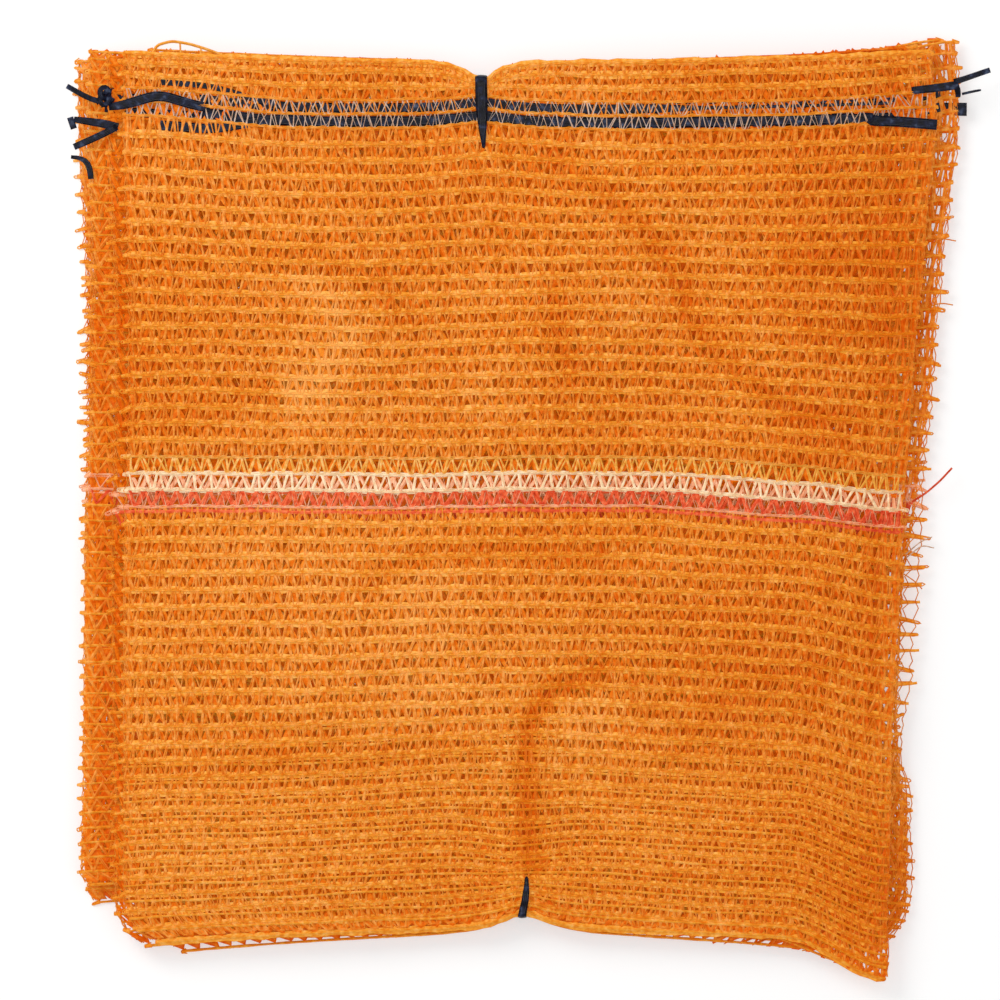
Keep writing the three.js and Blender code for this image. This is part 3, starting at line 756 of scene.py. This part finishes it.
def plain_chains(yarns, level, front, stripe, spread=0, rise=0):
    """Chains as one flat rod each, thick and thin from stitch to stitch, and slim in the stripe."""
    draw = seeded(CHAIN_SEED + 2 * level + front)
    rows = np.arange(LANES + 1)
    share = chain_shares(level, rows, STITCHES if level == TOP_BAG else COVERED_STATIONS, draw)
    centre = net_place(level, front, rows[:, None], share)
    centre[..., 2] += rise
    slim = np.isin(rows, SLIM_CHAINS)[:, None]
    finishes = row_finishes(stripe, rows, level, CHAIN)
    # Chains of back panels and of the bag under the top one take the copy in painted shade, except near the
    # foot.
    if level == UNDER_BAG or not front:
        finishes[(finishes == CHAIN) & (row_depth(rows) < FOOT_ROWS[0])] = PAINTED_SHADE_COPY
    wide = np.where(finishes == WHITE, WHITE_SPREAD, 1)[:, None]
    half = draw.uniform(*PLAIN_SIZES, share.shape) * (1 + spread * ~slim) * wide
    yarns.lay(centre, half, PLAIN_RISE, finishes)


def knitted_chains(yarns, level):
    """Stitches of the top panel's chains: a taut strand, and beside it one that loops from stitch to stitch."""
    draw = seeded(KNIT_SEED + level)
    rows = np.arange(LANES + 1)
    lift, loop_lift = STRAND_LIFT
    for stations, place, loop, half in STRANDS:
        share = chain_shares(level, rows, stations, draw)
        middle = net_place(level, True, rows[:, None], share)
        beside = sideways(middle[..., :2], 1)
        step = np.arange(stations)
        gather = smooth(np.minimum(step, stations - 1 - step), *STRAND_START)
        swing = place + loop * np.sin(step * np.pi / 2) * draw.uniform(*STRAND_SWINGS, share.shape)
        centre = middle + beside * (swing * gather)[..., None]
        centre[..., 2] += lift + loop_lift * np.cos(step * np.pi / 2)
        half = half * draw.uniform(*STRAND_SIZES, share.shape)
        yarns.lay(centre, half, STRAND_RISE, row_finishes(CHAIN_STRIPE, rows, level, CHAIN))


def lap_turns(level, lane, draw, loose, stitches, steep, reach):
    """Where a lap tape turns: rows and shares across. Near the right seam its legs stand upright."""
    turns = np.arange(int(stitches * reach) + 1)
    own = draw.uniform(-loose, loose, len(turns)) + draw.uniform(-0.5, 0.5)
    rows = lane + turns % 2
    depth = row_depth(rows)
    right = right_half(BAGS[level], depth)
    low, high = seam_share(level, -1, depth), seam_share(level, 1, depth)
    middle = lerp(low, high, np.clip((turns + own) / stitches, 0, 1))
    upright = 1 - smooth((high - middle) * right, *LADDER_SPAN)
    upright = upright * (1 - LADDER_FADE * smooth(depth, *LADDER_DEPTHS))
    upper, lower = LADDER_RUNS
    run = steep * draw.uniform(*STEEP_SIZES, len(turns))
    run = np.maximum(run, upright * np.where(turns % 2, lower, upper)) * (high - low) / stitches
    share = np.stack([middle - run, middle + run], axis=-1)
    share = np.clip(share, low[:, None], high[:, None]).ravel()
    kept = np.repeat(run > 0, 2)
    kept[::2] = True
    return np.repeat(rows, 2)[kept], share[kept]


def lap_tape(
    yarns, level, front, lane, finish, half, draw,
    loose=LOOSE, stitches=STITCHES, steep=0, reach=1, ring=THREE_RING,
):
    """One flat lap tape, a little turned on edge here and there."""
    rows, share = lap_turns(level, lane, draw, loose, stitches, steep, reach)
    hem = FOOT_HEM * (1 - smooth(share, *HEM_END))
    rows = np.clip(lerp(rows, lane + 0.5, TURN_INSET), MOUTH_HEM, LANES - hem)[None]
    centre = net_place(level, front, rows, share[None])
    centre[..., 2] += draw.uniform(-LAP_WAVER, LAP_WAVER, rows.shape)
    across = sideways(centre[..., :2], half * draw.uniform(*LAP_SIZES, rows.shape), LAP_MITRE)
    across[..., 2] = half * draw.uniform(-LAP_TILT, LAP_TILT, rows.shape)
    yarns.add(centre, across, YARN_RISE, ring, finish)


def plain_laps(yarns, level, front, stripe):
    """Lap tapes of a covered panel, with more of them where the bag stands out at a side."""
    half = OUTER_HALF if level == OUTER_BAG else FRONT_HALF if front else BACK_HALF
    pink = TOP_PINK if level == TOP_BAG else LOWER_PINK
    # Back panels and the bag under the top one take the lap tape's copy in painted shade.
    plain = LAP if front and level != UNDER_BAG else PAINTED_SHADE_COPY
    draw = seeded(LAP_SEED + 2 * level + front)
    lanes = np.arange(LANES)
    for lane, finish in zip(lanes, row_finishes(stripe, lanes, level, plain)):
        own = (pink if finish == PINK else 1) * half * draw.uniform(*COVERED_SIZES)
        lap_tape(yarns, level, front, lane, finish, own, draw)
        if level == OUTER_BAG and front:
            lap_tape(yarns, level, front, lane, finish, FINE_HALF, draw, LOOSE_FINE, FINE_STITCHES)
        if level in LEFT_BAGS and (level, front) != OPEN_PANEL:
            own = STRIP_FRONT if front else STRIP_BACK
            strip = (LOOSE_FINE, FINE_STITCHES, STEEP, LEFT_STRIP)
            lap_tape(yarns, level, front, lane, finish, own, draw, *strip)


def laid_laps(yarns, level):
    """Lap tapes of the top panel, drawn thin over the drawstring tapes, and the stripe's red inlay."""
    draw = seeded(LAID_SEED + level)
    lanes = np.arange(LANES)
    for lane, finish in zip(lanes, row_finishes(LANE_STRIPE, lanes, level, LAP)):
        if lane in TAPE_LAPS:
            for half, thin, stitches in TAPE_LAPS[lane]:
                lap_tape(yarns, level, True, lane, thin, half, draw, LOOSE_FINE, stitches, SLANTED)
        else:
            slant = STEEP if finish == LAP else SLANTED
            second = (PINK, PINK_HALF) if finish in (RED, WHITE) else (finish, SECOND_HALF)
            pair = ((finish, FIRST_HALF, STITCHES, slant), (*second, FINE_STITCHES, slant / 2))
            for yarn, half, stitches, steep in pair:
                half = half * draw.uniform(*LAID_SIZES)
                lap_tape(yarns, level, True, lane, yarn, half, draw, LOOSE_TOP, stitches, steep)
    lap_tape(yarns, level, True, RED_LANE, RED, THIRD_HALF, draw, ring=FLAT_RING)
    share = np.linspace(-1, 1, STITCHES)[None]
    yarns.lay(net_place(level, True, RED_INLAY, share), INLAY_HALF, INLAY_RISE, RED, FLAT_RING)


def frayed_ends(yarns, level):
    """Cut chain ends beyond the seams, each tapered with yarns looped round it, and threads between them."""
    draw = seeded(FRAY_SEED + level)
    rows = np.arange(LANES + 1)
    depth = row_depth(rows)
    finishes = row_finishes(CHAIN_STRIPE if level == TOP_BAG else LOWER_CHAINS, rows, level, CHAIN)
    short, spread, less = SHORT_ENDS
    for side in (-1, 1):
        fray = LEFT_FRAY if side < 0 else RIGHT_FRAY
        base = net_place(level, True, rows, seam_share(level, side, depth))[:, None]
        lean = draw.normal(*END_LEAN, (len(rows), 1))
        beyond = draw.uniform(*fray, len(rows)) * (1 - FOOT_FRAY * smooth(depth, *LADDER_DEPTHS))
        if side > 0:
            beyond = beyond - less * hill(depth - short, spread)
        length = np.minimum(seam_inset(level, side, depth) + beyond, LONGEST_END)[:, None]
        for along, beside, half in FRAYED_END:
            out = length * draw.uniform(*END_LENGTHS, (len(rows), 1)) * np.array(along)
            up = draw.uniform(*END_WIDTHS, (len(rows), 1)) * np.array(beside)
            centre = np.stack([
                base[..., 0] + side * (out * np.cos(lean) - up * np.sin(lean)),
                base[..., 1] + out * np.sin(lean) + up * np.cos(lean),
                np.maximum(base[..., 2] - END_FALL * out + END_LIFT, END_LOWEST),
            ], axis=-1)
            half = np.broadcast_to(half, out.shape)
            if side < 0:
                centre, half = centre[:, ::-1], half[:, ::-1]
            yarns.lay(centre, half, YARN_RISE, finishes)
        joined = np.arange(0.5, LANES, 0.5)
        thread = net_place(level, True, joined, seam_share(level, side, row_depth(joined)))[None]
        low = smooth(row_depth(joined), *THREAD_DEPTHS)
        for near, far in THREADS[: 1 if side < 0 else 2]:
            leg = thread.copy()
            reach = np.where(joined % 1, lerp(*near, low), lerp(*far, low))
            reach = reach * np.interp(joined, rows, length[:, 0])
            for axis, shift in enumerate((side * reach, 0)):
                waver = THREAD_WAVER[axis]
                leg[..., axis] += shift + draw.uniform(-waver, waver, joined.shape)
            yarns.lay(leg, THREAD_HALF, THREAD_RISE, LAP)


def loose_yarn(yarns, points, half, finish):
    """A short loose yarn. Each point has plan x and y, bags below it and lift."""
    x, y, count, lift = resampled(points, SHORT_SPACING).T
    centre = np.stack([x, y, storey(count, x, y) + lift], axis=1)[None]
    yarns.lay(centre, half, STRAY_RISE * half, finish)


def seam_yarns(yarns, level):
    """The sewn side seams: chains of two strands, the left one drawn down into the net."""
    draw = seeded(SEAM_SEED + level)
    rows = np.linspace(SEAM_ENDS[0], LANES - SEAM_ENDS[1], SEAM_STATIONS)[None]
    depth = row_depth(rows)
    step = np.arange(SEAM_STATIONS)
    far, size, seed = SEAM_WANDER
    for side, half, sink in SEAMS:
        wander = far * ripple(depth, 0 * depth, size, seed + 2 * level + side) / HALF_LEFT
        middle = net_place(level, True, rows, seam_share(level, side, depth) + wander)
        for swing in (SEAM_SWING, -SEAM_SWING):
            centre = middle.copy()
            centre[..., 0] += swing * np.sin(step * np.pi / 2) * draw.uniform(*SEAM_SIZES, (1, SEAM_STATIONS))
            centre[..., 2] += SEAM_LOOP * np.cos(step * np.pi / 2) * np.sign(swing) - sink
            yarns.lay(centre, half, YARN_RISE, LAP)


def ready(piece, slot, *nodes):
    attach(piece, "root")
    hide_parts(*nodes)


for level in range(len(BAGS)):
    node = f"bag_{level + 1}"
    covered = Yarns()
    if level == TOP_BAG:
        foot = smooth(row_depth(np.arange(LANES + 1)), *FOOT_ROWS)[:, None]
        plain_chains(covered, level, False, COVERED_CHAINS, rise=BACK_RISE * foot)
        plain_laps(covered, level, False, LOWER_LANES)
        chains, laps = Yarns(), Yarns()
        knitted_chains(chains, level)
        plain_chains(chains, level, True, CHAIN_STRIPE, TOP_SPREAD, TOP_RISE)
        laid_laps(laps, level)
        seam_yarns(laps, level)
        frayed_ends(laps, level)
        for half, finish, points in STRAYS:
            loose_yarn(laps, points, half, finish)
        ready(chains.piece("bag_6_front_chains", net_finishes), "net", node)
        ready(laps.piece("bag_6_front_laps", net_finishes), "net", node)
        ready(covered.piece("bag_6_back", net_finishes), "net", node)
    else:
        for front in (True, False):
            plain_chains(covered, level, front, LOWER_CHAINS)
            plain_laps(covered, level, front, LOWER_LANES if front else {})
        seam_yarns(covered, level)
        frayed_ends(covered, level)
        ready(covered.piece(f"{node}_net", net_finishes, SHADED), "net", node)


# Navy tapes

TAPE_SHARES = (1, 0.5, 0, -0.5, -1)  # points across a tape, from its left edge
TAPE_THICK, TAPE_CROWN, TAPE_LOWEST = 0.4, 0.12, 0.5
TAPE_SPACING, LANE_STATIONS = 2.2, 120
X, Y, _, LIFT, HALF = range(5)  # columns of a tape's table: plan x and y, bags below, lift and half width
THIN_SPAN = (75, 110)  # plan x over which the upper tape turns thin


def tape_shape(shape, middle, across, thick, crown):
    """Adds a flat tape to a bmesh: drawn out along its middle line, crowned, and given its thickness."""
    weave = shape.verts.layers.float_vector.get("weave") or shape.verts.layers.float_vector.new("weave")
    along = np.gradient(middle, axis=0)
    normal = np.cross(along, across)
    normal = normal / np.linalg.norm(normal, axis=1, keepdims=True)
    length = np.concatenate([[0], np.cumsum(np.linalg.norm(np.diff(middle, axis=0), axis=1))])
    width = np.linalg.norm(across, axis=1)

    def settle(verts, station):
        for vert, share in zip(verts, TAPE_SHARES):
            point = middle[station] + share * across[station] + crown * (1 - share ** 2) * normal[station]
            vert.co = in_frame(point)
            vert[weave] = (share * width[station], length[station], 0)

    verts = [shape.verts.new() for _ in TAPE_SHARES]
    settle(verts, 0)
    edges = [shape.edges.new(pair) for pair in zip(verts, verts[1:])]
    faces = []
    for station in range(1, len(middle)):
        grown = bmesh.ops.extrude_edge_only(shape, edges=edges)["geom"]
        faces += [part for part in grown if isinstance(part, bmesh.types.BMFace)]
        edges = [part for part in grown if isinstance(part, bmesh.types.BMEdge)]
        fresh = [part for part in grown if isinstance(part, bmesh.types.BMVert)]
        places = [tuple(vert.co) for vert in verts]
        verts = sorted(fresh, key=lambda vert: places.index(tuple(vert.co)))
        settle(verts, station)
    bmesh.ops.solidify(shape, geom=faces, thickness=thick / 1000)


def tape_piece(node, shape):
    bmesh.ops.recalc_face_normals(shape, faces=shape.faces)
    mesh = bpy.data.meshes.new(node + "_tape")
    for face in shape.faces:
        face.smooth = True
    shape.to_mesh(mesh)
    shape.free()
    mesh.materials.append(navy_tape)
    ready(placed(node + "_tape", mesh), "tape", node)


def lie_tape(shape, table, spacing=TAPE_SPACING):
    """A tape that lies on the stack."""
    x, y, count, lift, half = resampled(table, spacing).T
    middle = np.stack([x, y, np.maximum(storey(count, x, y) + lift, TAPE_LOWEST)], axis=1)
    across = sideways(middle[None, :, :2], half[None])[0]
    left, right = (storey(count, x + way * across[:, 0], y + way * across[:, 1]) for way in (1, -1))
    across[:, 2] = (left - right) / 2
    tape_shape(shape, middle, across, TAPE_THICK, TAPE_CROWN)


def lane_table(level, front, lane, ends, sink, half):
    """Table of a tape laced in a lane of a panel."""
    share = np.linspace(*ends, LANE_STATIONS)
    depth = np.full(share.shape, TAPE_DEPTHS[lane])
    depth = depth + row_sag(share, depth)
    x, y = bag_plan(BAGS[level], share, depth)
    height = panel_height(level, front, share, depth, x, y) - sink
    count = np.full(share.shape, float(level + front))
    return np.stack([x, y, count, height - storey(count, x, y), np.full(share.shape, half)], axis=1)


def ease(table, column, far, span, left=False):
    """Adds so much to a column of a tape's table, to the right of a span of plan x or to its left."""
    share = smooth(table[:, X], *span)
    table[:, column] += far * (1 - share if left else share)


for level in range(TOP_BAG):
    for lane, name in enumerate(("upper", "lower")):
        shape = bmesh.new()
        for front, sink in ((True, 0.55), (False, -0.55)):
            lie_tape(shape, lane_table(level, front, lane, ends=(-0.95, 0.95), sink=sink, half=2.5))
        tape_piece(f"drawstring_{name}_{level + 1}", shape)

# The top bag's lower tape: laced under the laps, and out on the net at its right end
shape = bmesh.new()
lie_tape(shape, [
    *lane_table(TOP_BAG, True, 1, ends=(-0.79, 0.86), sink=0.95, half=2.8),
    (184, 189.6, 6, 0.5, 2.6), (196, 189.4, 6, 0.6, 2.6), (206, 188.7, 6, 0.5, 2.6),
    (218.5, 187.6, 5.6, 0.6, 2.6),
])
back = lane_table(TOP_BAG, False, 1, ends=(-0.9, 0.9), sink=-0.2, half=2.4)
ease(back, Y, -7.5, (-150, -110), left=True)
lie_tape(shape, back)
tape_piece("drawstring_lower_6", shape)

# The top bag's upper tape, out on the net at both ends, with its tails and their split ends
UPPER_RUNS = [
    ([(-195.5, 196.5, 5.75, 0.8, 1.7), (-188, 197.5, 6, 0.7, 2.3), (-180, 200, 6, 0.6, 2.5),
      (-172, 202.3, 6, 0.6, 2.5), (-166, 201.6, 6, 0.5, 2.4), (-159, 199.2, 6, 0.2, 2.4),
      (-152, 197.3, 6, -0.5, 2.4), (-145, 196, 6, -1.1, 2.3)], TAPE_SPACING),
    ([(206, 204.7, 6, -0.9, 1.8), (208.5, 205, 6, 0.3, 1.9), (217, 205.9, 6, 0.6, 2),
      (228, 207.4, 5.75, 0.7, 2.1)], SHORT_SPACING),
    ([(227, 209, 5.75, 0.9, 1.5), (233, 210.8, 5.6, 0.7, 1.3), (239, 213, 5.4, 0.6, 1.3),
      (245, 215, 5.2, 0.5, 1.3)], TAPE_SPACING),
    ([(227.5, 208, 5.7, 1, 1.6), (229.2, 205, 5.5, 0.9, 1.4), (229, 201.4, 5.2, 0.7, 1.2)], SHORT_SPACING),
    ([(208, 196.5, 3, -2.2, 2.6), (218, 195.8, 3, -2.1, 2.8), (226, 195.4, 3, -1.7, 3.2),
      (233.4, 195.3, 3, -0.8, 3.3)], TAPE_SPACING),
    ([(231, 203, 5.2, 0.6, 0.5), (236, 204.2, 5, 0.6, 0.5), (240.5, 205, 4.8, 0.5, 0.4)], SHORT_SPACING),
    ([(-216.5, 207, 4.6, 0.5, 1.2), (-210, 203.2, 4.9, 0.5, 1.3), (-204, 200, 5.3, 0.7, 1.3),
      (-199, 199, 5.6, 0.9, 1.4)], TAPE_SPACING),
]
shape = bmesh.new()
laced = lane_table(TOP_BAG, True, 0, ends=(-0.8, 0.92), sink=1.1, half=2.4)
for column, far in ((Y, 1.5), (LIFT, -0.3), (HALF, -1.4)):
    ease(laced, column, far, THIN_SPAN)
lie_tape(shape, laced)
for points, spacing in UPPER_RUNS:
    lie_tape(shape, points, spacing)
back = lane_table(TOP_BAG, False, 0, ends=(-0.9, 0.9), sink=-0.2, half=2.2)
ease(back, Y, 7, (-150, -105), left=True)
ease(back, HALF, -0.8, (-130, -100), left=True)
ease(back, HALF, -1.5, THIN_SPAN)
lie_tape(shape, back)

# Its knot
KNOT = dict(x=-197, y=202, count=5.75, lift=1.6, wide=1.25, long=1.5, high=0.8)
turn = np.linspace(0.3, 2 * np.pi - 0.1, 44)
loop = np.stack([
    KNOT["x"] + KNOT["wide"] * (2 + np.cos(3 * turn)) * np.cos(2 * turn),
    KNOT["y"] + KNOT["long"] * (2 + np.cos(3 * turn)) * np.sin(2 * turn),
    storey(KNOT["count"], KNOT["x"], KNOT["y"]) + KNOT["lift"] + KNOT["high"] * np.sin(3 * turn),
], axis=1)
side = sideways(loop[None, :, :2], 1.1)[0] + (0, 0, 0.5)
tape_shape(shape, loop, side, thick=0.45, crown=0.15)
tape_piece("drawstring_upper_6", shape)

# Loose ends on the left: a short turned-over piece and two runs, and a hook
LOOSE_ENDS = {
    "drawstring_end_folded": [
        ([(-215.5, 188, 5.1, 0.6, 3), (-212.5, 189, 5.1, 0.6, 3)], SHORT_SPACING / 2),
        ([(-213, 190.3, 5.1, 0.7, 1.4), (-205, 189.2, 5.15, 0.6, 1.9), (-197, 188, 5.2, 0.6, 2.1),
          (-191, 186.2, 5.2, 0.7, 2.2)], TAPE_SPACING),
        ([(-191.5, 186.6, 5.25, 1.1, 1.6), (-197, 183.6, 5.2, 0.9, 1.7), (-205, 180, 5.1, 0.6, 1.7),
          (-213, 176.5, 4.8, 0.6, 1.6)], TAPE_SPACING),
    ],
    "drawstring_end_hooked": [
        ([(-214.5, 171.5, 4.1, 0.6, 0.8), (-209, 171.3, 4.1, 0.7, 1), (-205.8, 169.5, 4.1, 0.8, 1.5),
          (-204.8, 165, 4.1, 0.7, 1.5), (-204.5, 160.5, 4.1, 0.6, 1.4)], TAPE_SPACING),
    ],
}
for node, runs in LOOSE_ENDS.items():
    shape = bmesh.new()
    for points, spacing in runs:
        lie_tape(shape, points, spacing)
    tape_piece(node, shape)


# Ties

TIE_STATIONS, BEND_STATIONS = 16, 9
TIE_DIVE, DIVE_SPAN = 2.4, (0, 0.08)  # down into its hole, and shares along it
TIE_HUMP = (0.5, 0.62, 0.12)  # rise, share along it and spread
TIE_CLEAR, TIE_LOWEST = 0.55, 0.35  # from the net and the table to its middle


def tie_piece(node, tie, widths, sway):
    """A tie out of a hole in the net, along the top, round the drawn-in edge, back underneath and in again."""
    way = np.sign(tie["edge"] - tie["hole"])
    share = np.linspace(0, 1, TIE_STATIONS)
    y = lerp(tie["hole"], tie["edge"], share)
    x = tie["x"] + np.interp(share, *sway)
    top = storey(len(BAGS), x, y)
    low = underside(x, y)
    dive = TIE_DIVE * (1 - smooth(share, *DIVE_SPAN))
    rise, place, spread = TIE_HUMP
    over = np.stack([x, y, top + TIE_CLEAR + rise * hill(share - place, spread) - dive], axis=1)
    under = np.stack([x, y, np.maximum(low - TIE_CLEAR, TIE_LOWEST) + dive / 2], axis=1)[::-1]
    bend = np.linspace(0, np.pi, BEND_STATIONS)[1:-1]
    middle = (over[-1, 2] + under[0, 2]) / 2
    reach = (over[-1, 2] - under[0, 2]) / 2
    round_edge = np.stack([
        np.full(bend.shape, x[-1]),
        tie["edge"] + way * TIE_REACH * np.sin(bend),
        middle + reach * np.cos(bend),
    ], axis=1)
    path = np.concatenate([over, round_edge, under])
    half = np.interp(share, *widths)
    across = np.zeros(path.shape)
    across[:, 0] = -way * np.concatenate([half, np.full(len(bend), widths[1][-1]), half[::-1]])
    shape = bmesh.new()
    tape_shape(shape, path, across, thick=0.45, crown=0.35)
    tape_piece(node, shape)


# Half widths and sideways swings at shares along each tie
tie_piece(
    "tie_mouth", MOUTH_TIE,
    widths=((0, 0.35, 0.6, 1), (0.5, 2.2, 3, 2.9)), sway=((0, 0.5, 1), (1.4, 0.4, 0)),
)
tie_piece(
    "tie_foot", FOOT_TIE,
    widths=((0, 0.4, 1), (0.5, 1.5, 2)), sway=((0, 0.3, 0.6, 1), (1.3, 1.2, 0.6, -0.9)),
)

# Floor, lights and camera
floor_shape = bmesh.new()
bmesh.ops.create_grid(floor_shape, x_segments=1, y_segments=1, size=3)
floor_mesh = bpy.data.meshes.new("floor")
floor_shape.to_mesh(floor_mesh)
floor_shape.free()
floor_finish, tree, shader = new_finish("pale_floor")
feed(tree, shader, {"Base Color": (0.96, 0.96, 0.96, 1), "Roughness": 0.9, "Specular IOR Level": 0.1}, {})
floor_mesh.materials.append(floor_finish)
floor = placed("floor", floor_mesh)

middle_x, middle_y, _ = in_frame((0, 0, 0))
world = bpy.data.worlds.new("studio")
world.use_nodes = True
sky = world.node_tree.nodes["Background"]
feed(world.node_tree, sky, {"Color": (1, 1, 1, 1), "Strength": 0.41}, {})
bpy.context.scene.world = world
key = bpy.data.lights.new("key", "AREA")
key.shape, key.size, key.energy, key.color = "DISK", 1.4, 17, (1, 0.98, 0.95)
key_light = placed("key", key)
key_light.location = (-1.3, 1.3, 1.5)
key_light.rotation_euler = (-key_light.location).to_track_quat("-Z", "Y").to_euler()
overhead = bpy.data.lights.new("overhead", "SUN")
overhead.energy = 1.6
overhead.angle = 0.05
placed("overhead", overhead)

camera_lens = bpy.data.cameras.new("camera")
camera_lens.type = "ORTHO"
camera_lens.ortho_scale = 0.5
camera = placed("camera", camera_lens)
camera.location = (middle_x, middle_y, 1.5)
bpy.context.scene.camera = camera
bpy.context.scene.view_settings.view_transform = "Standard"
